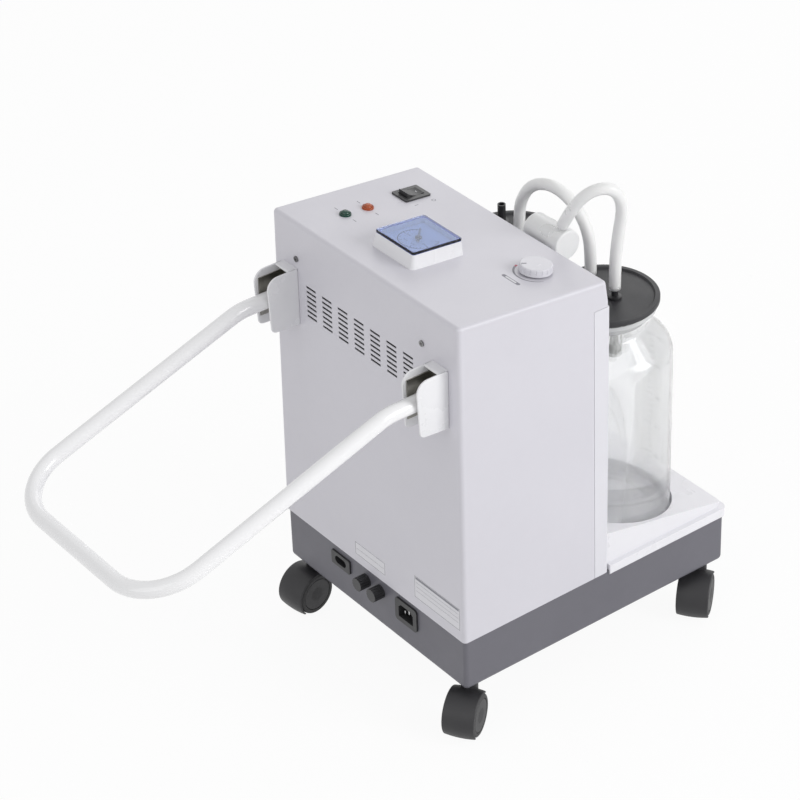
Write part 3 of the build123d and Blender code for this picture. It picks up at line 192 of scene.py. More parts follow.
def build_streaks():
    """Height of fine lines drawn out along one axis, for drawn tube and brushed sheet."""
    tree, source, result = group(
        "drawn_streaks",
        [("Vector", "NodeSocketVector", None), ("Stretch", "NodeSocketVector", (900.0, 30.0, 900.0))],
        [("Height", "NodeSocketFloat")],
    )
    spread = tree.nodes.new("ShaderNodeVectorMath")
    spread.operation = "MULTIPLY"
    tree.links.new(source.outputs["Vector"], spread.inputs[0])
    tree.links.new(source.outputs["Stretch"], spread.inputs[1])
    tree.links.new(noise(tree, spread.outputs[0], 1.0, 3.0), result.inputs["Height"])
    return tree


tint_drift = build_tint()
mould_grain = build_grain()
polish_drift = build_sheen()
drawn_streaks = build_streaks()


# Depth of every bump, in metres
RELIEF = 0.0003


def finish_of(name, colour, second, smooth, dull, grain=None, streaks=None, bump=0.1, **sockets):
    """A Principled material with drifting colour and polish, and a bump of moulded grain or drawn streaks."""
    mat = bpy.data.materials.new(name)
    mat.use_nodes = True
    tree = mat.node_tree
    shader = tree.nodes["Principled BSDF"]
    where = tree.nodes.new("ShaderNodeTexCoord").outputs["Object"]

    def use(shared, **values):
        node = tree.nodes.new("ShaderNodeGroup")
        node.node_tree = shared
        tree.links.new(where, node.inputs["Vector"])
        for label, value in values.items():
            node.inputs[label].default_value = value
        return node.outputs[0]

    tint = use(tint_drift, Colour=(*colour, 1), Second=(*second, 1))
    tree.links.new(tint, shader.inputs["Base Color"])
    tree.links.new(use(polish_drift, Smooth=smooth, Dull=dull), shader.inputs["Roughness"])
    height = None
    if grain:
        height = use(mould_grain, Scale=grain)
    if streaks:
        height = use(drawn_streaks, Stretch=streaks)
    if height:
        relief = tree.nodes.new("ShaderNodeBump")
        relief.inputs["Strength"].default_value = bump
        relief.inputs["Distance"].default_value = RELIEF
        tree.links.new(height, relief.inputs["Height"])
        tree.links.new(relief.outputs["Normal"], shader.inputs["Normal"])
    for label, value in sockets.items():
        shader.inputs[label.replace("_", " ")].default_value = value
    return mat


cover_white = finish_of(
    "cover_white", (0.63, 0.62, 0.67), (0.61, 0.60, 0.65), 0.30, 0.42, grain=1400.0, bump=0.06
)
panel_white = finish_of(
    "panel_white", (0.69, 0.685, 0.73), (0.67, 0.665, 0.71), 0.26, 0.38, grain=1400.0, bump=0.05
)
# The housing white, painted lighter on the tray than on the cover: painted light
tray_white_painted_light = finish_of(
    "tray_white_painted_light", (0.78, 0.775, 0.81), (0.76, 0.755, 0.79), 0.24, 0.34, grain=1400.0, bump=0.02
)
base_grey = finish_of(
    "base_grey", (0.132, 0.130, 0.153), (0.120, 0.118, 0.138), 0.38, 0.52, grain=1100.0, bump=0.14
)
bracket_white = finish_of(
    "bracket_white", (0.80, 0.80, 0.82), (0.76, 0.76, 0.785), 0.20, 0.32, grain=1600.0, bump=0.03
)
handle_white = finish_of(
    "handle_white", (0.86, 0.86, 0.87), (0.84, 0.84, 0.855), 0.14, 0.22, Coat_Weight=0.4,
    Coat_Roughness=0.12,
)
# The bracket's white, painted darker on the knob: painted shade
knob_white_painted_shade = finish_of(
    "knob_white_painted_shade", (0.66, 0.655, 0.70), (0.63, 0.625, 0.67), 0.18, 0.30, grain=1600.0, bump=0.03
)
switch_black = finish_of(
    "switch_black", (0.030, 0.030, 0.032), (0.045, 0.045, 0.047), 0.28, 0.42, grain=2200.0, bump=0.08
)
socket_black = finish_of(
    "socket_black", (0.022, 0.022, 0.024), (0.035, 0.035, 0.037), 0.34, 0.5, grain=2000.0, bump=0.1
)
caster_black = finish_of(
    "caster_black", (0.024, 0.0235, 0.026), (0.018, 0.0175, 0.020), 0.40, 0.56, grain=1300.0, bump=0.16
)
tread_black = finish_of(
    "tread_black", (0.030, 0.030, 0.032), (0.045, 0.044, 0.045), 0.55, 0.72, grain=900.0, bump=0.2
)
lid_rubber = finish_of(
    "lid_rubber", (0.025, 0.025, 0.028), (0.033, 0.033, 0.037), 0.42, 0.58, grain=800.0, bump=0.12
)
spigot_black = finish_of(
    "spigot_black", (0.022, 0.022, 0.024), (0.032, 0.032, 0.035), 0.3, 0.42, grain=1800.0, bump=0.06
)
zinc_steel = finish_of(
    "zinc_steel", (0.40, 0.39, 0.36), (0.33, 0.32, 0.29), 0.30, 0.46, streaks=(1400.0, 60.0, 60.0),
    bump=0.12, Metallic=1.0,
)
drawn_steel = finish_of(
    "drawn_steel", (0.56, 0.56, 0.57), (0.48, 0.48, 0.49), 0.24, 0.38, streaks=(60.0, 1200.0, 1200.0),
    bump=0.1, Metallic=1.0,
)
screw_steel = finish_of(
    "screw_steel", (0.26, 0.26, 0.26), (0.20, 0.20, 0.20), 0.28, 0.42, streaks=(900.0, 900.0, 900.0),
    bump=0.1, Metallic=1.0,
)
cast_alloy = finish_of(
    "cast_alloy", (0.55, 0.55, 0.57), (0.46, 0.46, 0.48), 0.42, 0.6, grain=700.0, bump=0.35, Metallic=1.0
)
motor_paint = finish_of(
    "motor_paint", (0.10, 0.11, 0.13), (0.08, 0.09, 0.11), 0.32, 0.46, grain=900.0, bump=0.1
)
fan_plastic = finish_of(
    "fan_plastic", (0.09, 0.09, 0.10), (0.07, 0.07, 0.08), 0.4, 0.55, grain=1500.0, bump=0.08
)
foot_rubber = finish_of(
    "foot_rubber", (0.03, 0.03, 0.03), (0.045, 0.045, 0.045), 0.6, 0.75, grain=700.0, bump=0.2
)
brass = finish_of(
    "brass", (0.62, 0.45, 0.20), (0.50, 0.35, 0.15), 0.22, 0.36, streaks=(900.0, 900.0, 80.0), bump=0.08,
    Metallic=1.0,
)
nylon = finish_of("nylon", (0.74, 0.74, 0.71), (0.68, 0.68, 0.65), 0.34, 0.48, grain=1500.0, bump=0.06)
float_grey = finish_of(
    "float_grey", (0.60, 0.61, 0.59), (0.54, 0.55, 0.53), 0.25, 0.38, grain=1500.0, bump=0.05,
    Transmission_Weight=0.15,
)
filter_paper = finish_of(
    "filter_paper", (0.78, 0.78, 0.76), (0.72, 0.72, 0.70), 0.7, 0.85, grain=600.0, bump=0.3
)
dial_card = finish_of(
    "dial_card", (0.62, 0.66, 0.74), (0.59, 0.63, 0.72), 0.45, 0.55, grain=1500.0, bump=0.03
)
needle_black = finish_of(
    "needle_black", (0.012, 0.016, 0.035), (0.02, 0.025, 0.05), 0.3, 0.42, grain=2500.0, bump=0.03
)
print_grey = finish_of(
    "print_grey", (0.20, 0.20, 0.23), (0.26, 0.26, 0.29), 0.4, 0.5, grain=2500.0, bump=0.02
)
print_blue = finish_of(
    "print_blue", (0.03, 0.05, 0.14), (0.05, 0.07, 0.18), 0.4, 0.5, grain=2500.0, bump=0.02
)
print_red = finish_of(
    "print_red", (0.45, 0.07, 0.12), (0.38, 0.06, 0.10), 0.4, 0.5, grain=2500.0, bump=0.02
)
print_pale = finish_of(
    "print_pale", (0.66, 0.66, 0.69), (0.62, 0.62, 0.65), 0.4, 0.5, grain=2500.0, bump=0.02
)
volume_ink = finish_of(
    "volume_ink", (0.62, 0.65, 0.70), (0.66, 0.69, 0.74), 0.35, 0.45, grain=2500.0, bump=0.02
)
lip_frost = finish_of(
    "lip_frost", (0.80, 0.81, 0.82), (0.76, 0.77, 0.78), 0.18, 0.3, grain=700.0, bump=0.04,
    Transmission_Weight=0.3,
)
gasket_navy = finish_of(
    "gasket_navy", (0.030, 0.060, 0.36), (0.040, 0.075, 0.42), 0.4, 0.55, grain=2000.0, bump=0.05
)
# Near-black: painted shade of the dark inside of the vent slots
vent_shade_black = finish_of(
    "vent_shade_black", (0.006, 0.006, 0.007), (0.012, 0.012, 0.013), 0.8, 0.95, grain=900.0, bump=0.3
)
label_film = finish_of(
    "label_film", (0.69, 0.685, 0.72), (0.665, 0.66, 0.70), 0.18, 0.28, grain=2500.0, bump=0.02
)
lamp_green = finish_of(
    "lamp_green", (0.010, 0.095, 0.060), (0.006, 0.06, 0.04), 0.08, 0.16, grain=1800.0, bump=0.1,
    Transmission_Weight=0.35,
)
lamp_amber = finish_of(
    "lamp_amber", (0.62, 0.13, 0.035), (0.45, 0.08, 0.02), 0.08, 0.16, grain=1800.0, bump=0.1,
    Transmission_Weight=0.35,
)
jar_glass = finish_of(
    "jar_glass", (0.985, 0.992, 1.0), (0.975, 0.985, 0.995), 0.008, 0.02, grain=40.0, bump=0.01,
    Transmission_Weight=1.0, IOR=1.5, Alpha=0.6,
)
hose_silicone = finish_of(
    "hose_silicone", (0.97, 0.972, 0.97), (0.955, 0.957, 0.955), 0.26, 0.36, grain=300.0, bump=0.02,
    Transmission_Weight=0.22, IOR=1.41,
)
filter_shell = finish_of(
    "filter_shell", (0.95, 0.955, 0.96), (0.93, 0.935, 0.94), 0.22, 0.34, grain=900.0, bump=0.03,
    Transmission_Weight=0.25, IOR=1.46,
)
window_blue = finish_of(
    "window_blue", (0.52, 0.63, 0.88), (0.49, 0.60, 0.86), 0.02, 0.05, grain=60.0, bump=0.006,
    Transmission_Weight=1.0, IOR=1.46,
)
fuse_glass = finish_of(
    "fuse_glass", (0.92, 0.93, 0.93), (0.828, 0.837, 0.837), 0.03, 0.06, grain=300.0, bump=0.01,
    Transmission_Weight=0.9,
)


# Making pieces
def add_piece(name, bm, mat, body, replaces=(), sharp=32.0):
    """Turn a bmesh into a piece that rides on a body, shaded smooth up to the given angle."""
    bmesh.ops.recalc_face_normals(bm, faces=bm.faces)
    mesh = bpy.data.meshes.new(name)
    bm.to_mesh(mesh)
    bm.free()
    mesh.shade_smooth()
    mesh.set_sharp_from_angle(angle=radians(sharp))
    mesh.materials.append(mat)
    obj = bpy.data.objects.new(name, mesh)
    bpy.context.scene.collection.objects.link(obj)
    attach(obj, body)
    if replaces:
        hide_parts(*replaces)
    return obj


def bevel_sharp(bm, width, angle=30.0, segments=3):
    """Round every edge that turns more than angle."""
    edges = [e for e in bm.edges if len(e.link_faces) == 2 and e.calc_face_angle(0) > radians(angle)]
    bmesh.ops.bevel(
        bm, geom=edges, offset=width * MM, segments=segments, affect="EDGES", profile=0.5,
        material=-1, clamp_overlap=True,
    )


def turned(outline, steps=96, bevel=0.0):
    """Spin a closed half outline of (radius, height) in millimetres about Z."""
    bm = bmesh.new()
    corners = [bm.verts.new((radius * MM, 0, height * MM)) for radius, height in outline]
    lines = [bm.edges.new(pair) for pair in zip(corners, corners[1:] + corners[:1])]
    on_axis = [line for line in lines if all(v.co.x < 1e-6 for v in line.verts)]
    bmesh.ops.delete(bm, geom=on_axis, context="EDGES")
    bmesh.ops.spin(
        bm, geom=bm.verts[:] + bm.edges[:], cent=(0, 0, 0), axis=(0, 0, 1), dvec=(0, 0, 0),
        angle=2 * pi, steps=steps, use_merge=True, use_normal_flip=False, use_duplicate=False,
    )
    bmesh.ops.remove_doubles(bm, verts=bm.verts, dist=1e-6)
    bmesh.ops.recalc_face_normals(bm, faces=bm.faces)
    if bevel:
        bevel_sharp(bm, bevel)
    return bm


def set_in(bm, matrix):
    """Move a finished bmesh to its place."""
    bmesh.ops.transform(bm, matrix=matrix, verts=bm.verts)
    return bm


def slab(points, low, high, bevel=0.0):
    """A flat outline of (x, y) in millimetres, raised from low to high along Z."""
    bm = bmesh.new()
    face = bm.faces.new([bm.verts.new((x * MM, y * MM, low * MM)) for x, y in points])
    lifted = bmesh.ops.extrude_face_region(bm, geom=[face])
    moved = [item for item in lifted["geom"] if isinstance(item, bmesh.types.BMVert)]
    bmesh.ops.translate(bm, vec=(0, 0, (high - low) * MM), verts=moved)
    bmesh.ops.recalc_face_normals(bm, faces=bm.faces)
    if bevel:
        bevel_sharp(bm, bevel)
    return bm


def rounded(width, tall, radius, steps=6):
    """Corner points of a rounded rectangle about the origin."""
    points = []
    for quarter in range(4):
        centre_x = (width / 2 - radius) * (1 if quarter in (0, 3) else -1)
        centre_y = (tall / 2 - radius) * (1 if quarter in (0, 1) else -1)
        for step in range(steps + 1):
            turn = pi / 2 * (quarter + step / steps)
            points.append((centre_x + radius * cos(turn), centre_y + radius * sin(turn)))
    return points


def softened(points, radii, steps=8):
    """A closed outline with each corner rounded by its own radius."""
    outline = []
    for index, (corner, radius) in enumerate(zip(points, radii)):
        here = Vector(corner)
        back = (Vector(points[index - 1]) - here).normalized()
        onward = (Vector(points[(index + 1) % len(points)]) - here).normalized()
        if not radius:
            outline.append(tuple(here))
            continue
        half = back.angle(onward) / 2
        middle = here + (back + onward).normalized() * radius / sin(half)
        first = here + back * radius / tan(half) - middle
        sweep = (pi - 2 * half) * (1 if back.x * onward.y < back.y * onward.x else -1)
        for step in range(steps + 1):
            turn = sweep * step / steps
            outline.append((
                middle.x + first.x * cos(turn) - first.y * sin(turn),
                middle.y + first.x * sin(turn) + first.y * cos(turn),
            ))
    return outline


def band(inner, outer, start, end, end_share=1.0, steps=48):
    """Outline of a flat arc from one angle to another in degrees, whose width changes by end_share."""
    shares = [step / steps for step in range(steps + 1)]
    turns = [radians(start + (end - start) * share) for share in shares]
    widths = [(outer - inner) * (1 + (end_share - 1) * share) for share in shares]
    far = [((inner + width) * cos(turn), (inner + width) * sin(turn)) for width, turn in zip(widths, turns)]
    near = [(inner * cos(turn), inner * sin(turn)) for turn in turns]
    return far + near[::-1]


def bar(x, y, length, thick, turn=0.0):
    """Outline of a straight stroke, centred on x and y and turned by degrees."""
    along = Vector((cos(radians(turn)), sin(radians(turn))))
    across = Vector((-sin(radians(turn)), cos(radians(turn))))
    corners = ((-1, -1), (1, -1), (1, 1), (-1, 1))
    return [tuple(Vector((x, y)) + along * length / 2 * a + across * thick / 2 * b) for a, b in corners]


def shifted(points, x, y):
    """The same outline somewhere else."""
    return [(px + x, py + y) for px, py in points]


def ring_print(inner, outer):
    """A printed ring."""
    bm = bmesh.new()
    rims = []
    for radius in (inner, outer):
        made = bmesh.ops.create_circle(bm, cap_ends=False, radius=radius * MM, segments=48)
        rims += list({edge for vert in made["verts"] for edge in vert.link_edges})
    bmesh.ops.bridge_loops(bm, edges=rims)
    bmesh.ops.solidify(bm, geom=bm.faces[:], thickness=-PRINT * MM)
    return bm


def printed(outlines, high=PRINT):
    """Ink of several flat outlines."""
    return joined(*[slab(outline, 0.0, high) for outline in outlines])


def lettering(words, size, high=PRINT):
    """Text in millimetres, centred on the origin and facing Z."""
    data = bpy.data.curves.new("lettering", "FONT")
    data.body = words
    data.size = size * MM
    data.extrude = high * MM / 2
    data.align_x = "CENTER"
    data.align_y = "CENTER"
    data.resolution_u = 3
    line = bpy.data.objects.new("lettering", data)
    bpy.context.scene.collection.objects.link(line)
    bpy.context.view_layer.update()
    mesh = bpy.data.meshes.new_from_object(line.evaluated_get(bpy.context.evaluated_depsgraph_get()))
    bpy.data.objects.remove(line)
    bm = bmesh.new()
    bm.from_mesh(mesh)
    bpy.data.meshes.remove(mesh)
    return bm


def wrapped(bm, radius):
    """Bend a flat piece round Z, so that it faces -Y on a cylinder: X runs round it, Y up it."""
    for vert in bm.verts:
        turn = vert.co.x / (radius * MM)
        reach = radius * MM + vert.co.z
        vert.co = (reach * sin(turn), -reach * cos(turn), vert.co.y)
    return bm


def joined(*parts):
    """One bmesh holding several."""
    whole = bmesh.new()
    for part in parts:
        mesh = bpy.data.meshes.new("part")
        part.to_mesh(mesh)
        part.free()
        whole.from_mesh(mesh)
        bpy.data.meshes.remove(mesh)
    return whole


def dress(mat, *names):
    """Give CAD nodes a material."""
    for name in names:
        nodes[name].data.materials.clear()
        nodes[name].data.materials.append(mat)


# Hoses
HOSE_RADIUS, HOSE_WALL = 6.2, 1.9


def hose_curve(name, route):
    """A smooth spline with the route's points as its control points."""
    data = bpy.data.curves.new(name, "CURVE")
    data.dimensions = "3D"
    data.resolution_u = 10
    spline = data.splines.new("NURBS")
    spline.points.add(len(route) - 1)
    for point, spot in zip(spline.points, route):
        point.co = (*place(*spot), 1)
    spline.order_u = 3
    spline.use_endpoint_u = True
    return bpy.data.objects.new(name, data)


def hose(name, route, body, node):
    """A hollow translucent hose along a smooth spline."""
    line = hose_curve(name, route)
    bpy.context.scene.collection.objects.link(line)
    bpy.context.view_layer.update()
    bare = bpy.data.meshes.new_from_object(line.evaluated_get(bpy.context.evaluated_depsgraph_get()))
    line.data.bevel_depth = HOSE_RADIUS * MM
    line.data.bevel_resolution = 6
    bpy.context.view_layer.update()
    tube = bpy.data.meshes.new_from_object(line.evaluated_get(bpy.context.evaluated_depsgraph_get()))
    bpy.data.objects.remove(line)
    bm = bmesh.new()
    bm.from_mesh(tube)
    obj = add_piece(name, bm, hose_silicone, body, replaces=(node,))
    wall = obj.modifiers.new("wall", "SOLIDIFY")
    wall.thickness = HOSE_WALL * MM
    wall.offset = -1.0


hose("suction_hose", [
    (-58.0, 205.0, 422.9), (-65.1, 205.0, 436.0), (-74.5, 208.5, 453.0), (-84.0, 215.0, 467.0),
    (-94.0, 226.0, 473.5), (-99.5, 238.0, 468.0), (-98.0, 247.0, 452.0), (-93.0, 252.0, 434.0),
    (-87.5, 253.5, 413.0), (-84.5, 253.0, 391.0), (-83.5, 252.0, 368.0), (-83.5, 252.0, 343.0),
], "lid_set", "pump_hose")
hose("link_hose", [
    (63.0, 248.0, 343.0), (63.0, 248.0, 366.0), (58.6, 247.3, 385.0), (44.2, 246.3, 407.0),
    (24.9, 246.0, 420.0), (2.3, 247.0, 424.7), (-17.2, 249.0, 418.5), (-30.4, 250.8, 407.3),
    (-40.1, 252.0, 392.7), (-45.7, 252.3, 373.0), (-45.7, 252.3, 343.0),
], "lid_set", "jumper_hose")


# Controls and prints on the sloping top
GAUGE_X, GAUGE_DEPTH, GAUGE_RISE, LENS_SIDE, DIAL_SIDE = 0.0, 68.5, 14.5, 61.0, 54.0
DIAL_TOP, NEEDLE_LIFT = 9.6, 11.1
SCALE_ZERO, SCALE_FULL, SCALE_RADIUS, NUMBER_RADIUS = -42.0, 222.0, 20.0, 12.6
SWITCH_X, SWITCH_DEPTH = 100.0, 137.0
LAMP_X, LAMP_DEPTHS = 98.4, (53.0, 81.0)
KNOB_X, KNOB_DEPTH, KNOB_TOP = -98.0, 137.0, 9.7


def gauge_gasket():
    """Blue gasket round the dial, under the edge of the lens."""
    lens_inset, dial_gap, thick = 0.4, 0.6, 0.06
    outer = rounded(LENS_SIDE - lens_inset, LENS_SIDE - lens_inset, 2.3)
    inner = rounded(DIAL_SIDE + dial_gap, DIAL_SIDE + dial_gap, 3.8)
    bm = bmesh.new()
    rims = []
    for outline in (outer, inner):
        corners = [bm.verts.new((x * MM, y * MM, 0)) for x, y in outline]
        rims += [bm.edges.new(pair) for pair in zip(corners, corners[1:] + corners[:1])]
    bmesh.ops.bridge_loops(bm, edges=rims)
    bmesh.ops.solidify(bm, geom=bm.faces[:], thickness=thick * MM)
    set_in(bm, on_top(GAUGE_X, GAUGE_DEPTH, GAUGE_RISE + 0.02))
    add_piece("gauge_gasket", bm, gasket_navy, "machine")


def gauge_scale():
    """Scale ring, heavier over its first two thirds, with ticks and plain numbers."""
    divisions, numbers, heavy_end, overrun = 25, 5, 137.0, 4
    span = SCALE_FULL - SCALE_ZERO
    strokes = [
        band(SCALE_RADIUS, SCALE_RADIUS + 1.1, SCALE_ZERO - overrun, heavy_end),
        band(SCALE_RADIUS, SCALE_RADIUS + 0.5, heavy_end, SCALE_FULL + overrun),
    ]
    for step in range(divisions + 1):
        turn = SCALE_ZERO + span * step / divisions
        length, thick = (3.6, 0.9) if step % 5 == 0 else (2.0, 0.45)
        reach = SCALE_RADIUS - length / 2
        strokes.append(bar(reach * cos(radians(turn)), reach * sin(radians(turn)), length, thick, turn))
    marks = [printed(strokes)]
    for step in range(numbers + 1):
        turn = radians(SCALE_ZERO + span * step / numbers)
        spot = Matrix.Translation((NUMBER_RADIUS * MM * cos(turn), NUMBER_RADIUS * MM * sin(turn), 0))
        marks.append(set_in(lettering(f"{0.02 * step:g}", 3.3), spot))
    scale = set_in(joined(*marks), on_top(GAUGE_X, GAUGE_DEPTH, DIAL_TOP + 0.01))
    add_piece("dial_scale", scale, print_blue, "machine")


def gauge_hand():
    """Tapered needle with its hub cap, at the scale's zero."""
    tail, tip = 8.0, 20.5
    hand = slab([(-tail, 1.5), (-tail, -1.5), (tip, -0.55), (tip, 0.55)], 0.0, 0.8, 0.1)
    set_in(hand, Matrix.Rotation(radians(SCALE_ZERO), 4, "Z"))
    cap = turned([(0, -0.1), (3.4, -0.1), (3.4, 1.0), (2.2, 1.9), (0, 2.1)], bevel=0.15)
    pointer = set_in(joined(hand, cap), on_top(GAUGE_X, GAUGE_DEPTH, NEEDLE_LIFT))
    add_piece("needle_hand", pointer, needle_black, "needle", replaces=("gauge_needle",))


def regulator_marks():
    """Tapering scale arc, its limit mark and a plain oval by the regulator, and the knob's pointer."""
    arc_radius, arc_start, arc_end, limit_start = 20.6, 27.0, 162.0, 17.0
    oval_depth, pointer_reach, pointer_turn = 31.0, 12.2, 62.0
    beside = on_top(KNOB_X, KNOB_DEPTH)
    scale = printed([band(arc_radius, arc_radius + 2.4, arc_start, arc_end, end_share=0.2)])
    add_piece("regulator_scale", set_in(scale, beside), print_grey, "machine")
    limit = printed([band(arc_radius, arc_radius + 2.5, limit_start, arc_start - 1.0)])
    add_piece("regulator_limit", set_in(limit, beside), print_red, "machine")
    oval = printed([shifted(rounded(26.0, 4.2, 2.0), 0, oval_depth)])
    add_piece("regulator_pill", set_in(oval, beside), print_grey, "machine")
    light = printed([shifted(rounded(16.0, 2.2, 1.0), 0, oval_depth)], 2 * PRINT)
    add_piece("pill_centre", set_in(light, beside), print_pale, "machine")
    pointer = slab(shifted(rounded(5.4, 1.3, 0.6), pointer_reach, 0), 0.0, 0.25)
    turn = Matrix.Rotation(radians(pointer_turn), 4, "Z")
    set_in(pointer, on_top(KNOB_X, KNOB_DEPTH, KNOB_TOP) @ turn)
    add_piece("knob_pointer", pointer, print_grey, "knob")


def switch_prints():
    """An I and an O printed beside the switch."""
    marks_x = SWITCH_X - 22.0
    switch_marks = joined(
        set_in(printed([bar(0, 0, 4.6, 0.8, 90.0)]), on_top(marks_x, SWITCH_DEPTH - 10.0)),
        set_in(ring_print(1.7, 2.4), on_top(marks_x, SWITCH_DEPTH + 12.0)),
    )
    add_piece("switch_marks", switch_marks, print_grey, "machine")


def lamp_dashes():
    """A plain dash on either side of each lamp."""
    dash_x = 15.5
    dashes = [
        set_in(printed([shifted(rounded(5.6, 0.9, 0.4), way * dash_x, 0)]), on_top(LAMP_X, depth))
        for depth in LAMP_DEPTHS for way in (-1, 1)
    ]
    add_piece("lamp_marks", joined(*dashes), print_grey, "machine")


def rocker_marks():
    """The pale I and O on the rocker's two slopes."""
    slope = Matrix.Rotation(radians(17.0), 4, "X")
    stroke = set_in(slab(bar(0, 0, 4.2, 0.9), 0, 0.1), on_top(SWITCH_X, SWITCH_DEPTH - 8.6, 4.35) @ slope)
    ring = set_in(ring_print(1.3, 2.1), on_top(SWITCH_X, SWITCH_DEPTH + 7.6, 2.05))
    add_piece("rocker_marks", joined(stroke, ring), print_pale, "rocker")


def lamp_collars():
    """Turned bezel ring round each lamp."""
    inner, outer = 4.9, 6.1
    for name, depth, mat in zip(("green", "amber"), LAMP_DEPTHS, (lamp_green, lamp_amber)):
        section = [(inner, 1.2), (outer, 1.2), (outer, 1.9), (outer - 0.5, 2.5), (inner, 2.2)]
        ring = set_in(turned(section, bevel=0.12), on_top(LAMP_X, depth))
        add_piece(f"lamp_collar_{name}", ring, mat, "machine")


# Back of the cover and of the base
VENT_X, VENT_HEIGHT, VENT_COLUMNS, VENT_ROWS = 8.5, 344.6, 7, 7
COLUMN_PITCH, ROW_PITCH = 26.5, 5.63
SCREW_XS, SCREW_HEIGHT = (110.8, -94.0), 387.0
INLET_X, INLET_HEIGHT = -56.0, 38.3


def vent_shade_pad():
    """Near-black pad behind the vents, reaching a little way into each slot: painted shade of the dark vent
    slots.
    """
    into_slot = 0.2
    parts = [slab(rounded(188.0, 46.0, 3.0), -0.8, 0.0)]
    for column in range(VENT_COLUMNS):
        for row in range(VENT_ROWS):
            x = COLUMN_PITCH * (column - VENT_COLUMNS // 2)
            y = ROW_PITCH * (row - VENT_ROWS // 2)
            plug = shifted(rounded(15.8, 2.4, 0.4, 2), x, y)
            parts.append(slab(plug, -into_slot, COVER_WALL - into_slot))
    shade_pad = set_in(joined(*parts), on_cover_back(VENT_X, VENT_HEIGHT, -COVER_WALL - 0.4))
    add_piece("vent_shade_pad", shade_pad, vent_shade_black, "machine")


def screw_recess_shade():
    """Painted dark cross on the head of each cover screw: painted shade of its cross recess."""
    head_top, first_turn = 1.54, 28.0
    crosses = []
    for x in SCREW_XS:
        cross = printed([bar(0, 0, 3.8, 0.9, first_turn), bar(0, 0, 3.8, 0.9, first_turn + 90.0)])
        crosses.append(set_in(cross, on_cover_back(x, SCREW_HEIGHT, head_top)))
    add_piece("screw_recess_shade", joined(*crosses), socket_black, "machine")


def rating_plate(name, x, height, wide, tall, header=False):
    """Bare film plate with a ruled frame and ruled lines, and a dark bar over them if it has a header."""
    edge, row_pitch = 0.9, 5.2
    film = slab(rounded(wide, tall, 1.2), 0.02, 0.09)
    add_piece(f"plate_{name}", set_in(film, on_cover_back(x, height)), label_film, "machine")
    first_row = tall / 2 - 3.0
    strokes = [bar(0, way * (tall / 2 - edge), wide - 2 * edge, 0.45) for way in (-1, 1)]
    strokes += [bar(way * (wide / 2 - edge), 0, tall - 2 * edge, 0.45, 90.0) for way in (-1, 1)]
    if header:
        strokes.append(bar(0, first_row, wide - 4.4, 2.6))
    strokes += [bar(0, first_row - row_pitch * row, wide - 6.0, 0.3) for row in range(1, int(tall / 6.5))]
    lines = set_in(printed(strokes), on_cover_back(x, height, 0.10))
    add_piece(f"plate_lines_{name}", lines, print_grey, "machine")


def inlet_blades():
    """Three steel blades standing in the mains inlet."""
    low, high = -16.5, -2.2
    section = rounded(2.3, 4.3, 0.5)
    places = ((-7, -3), (7, -3), (0, 0))
    blades = joined(*[slab(shifted(section, x, y), low, high, 0.3) for x, y in places])
    set_in(blades, on_base_back(INLET_X, INLET_HEIGHT))
    add_piece("inlet_blades", blades, drawn_steel, "machine")


# Jars and lids
def jar(side, x):
    """Blown glass jar with a rounded heel, a pushed-up base and a thick lip."""
    outline = softened(
        [(0, 67.2), (50, 66.9), (57, 65.3), (71.5, 65.3), (71.5, 276), (46, 302), (46, 312.5), (54, 321.5),
         (54, 326), (42.5, 326), (42.5, 300.6), (68, 274.6), (68, 68.8), (50, 70.4), (0, 70.8)],
        [0, 3, 1.5, 10, 26, 6, 3, 1.2, 1.2, 1.0, 9.5, 22.5, 6.5, 3, 0],
    )
    glass = set_in(turned(outline, steps=128), Matrix.Translation(place(x, JAR_DEPTH, 0)))
    add_piece(f"glass_jar_{side}", glass, jar_glass, "jars", (f"jar_{side}",), sharp=60.0)


def volume_marks(side, x):
    """Printed volume marks up the front of a jar, with plain numbers."""
    first_height, pitch, number_x = 70.0, 7.4, -11.0
    marks = []
    for step in range(1, 26):
        height = first_height + pitch * step
        long_mark = step % 5 == 0
        length = 13.0 if long_mark else 7.0
        stroke = printed([bar(length / 2, 0, length, 0.55)])
        marks.append(set_in(stroke, Matrix.Translation((0, height * MM, 0))))
        if long_mark:
            spot = Matrix.Translation((number_x * MM, height * MM, 0))
            marks.append(set_in(lettering(str(100 * step), 6.0), spot))
    scale = joined(*marks)
    bmesh.ops.subdivide_edges(scale, edges=[e for e in scale.edges if e.calc_length() > 3 * MM], cuts=4)
    wrapped(scale, JAR_RADIUS + 0.03)
    set_in(scale, Matrix.Translation(place(x, JAR_DEPTH, 0)))
    add_piece(f"jar_marks_{side}", scale, volume_ink, "jars")


def ground_lip(side, x):
    """Thin frosted skin on the ground underside and rim of a jar's lip."""
    skin = [(46.2, 312.6), (54.2, 321.5), (54.2, 325.8), (54.0, 325.8), (54.0, 321.6), (46.0, 312.8)]
    lip = set_in(turned(skin, steps=128), Matrix.Translation(place(x, JAR_DEPTH, 0)))
    add_piece(f"ground_lip_{side}", lip, lip_frost, "jars")


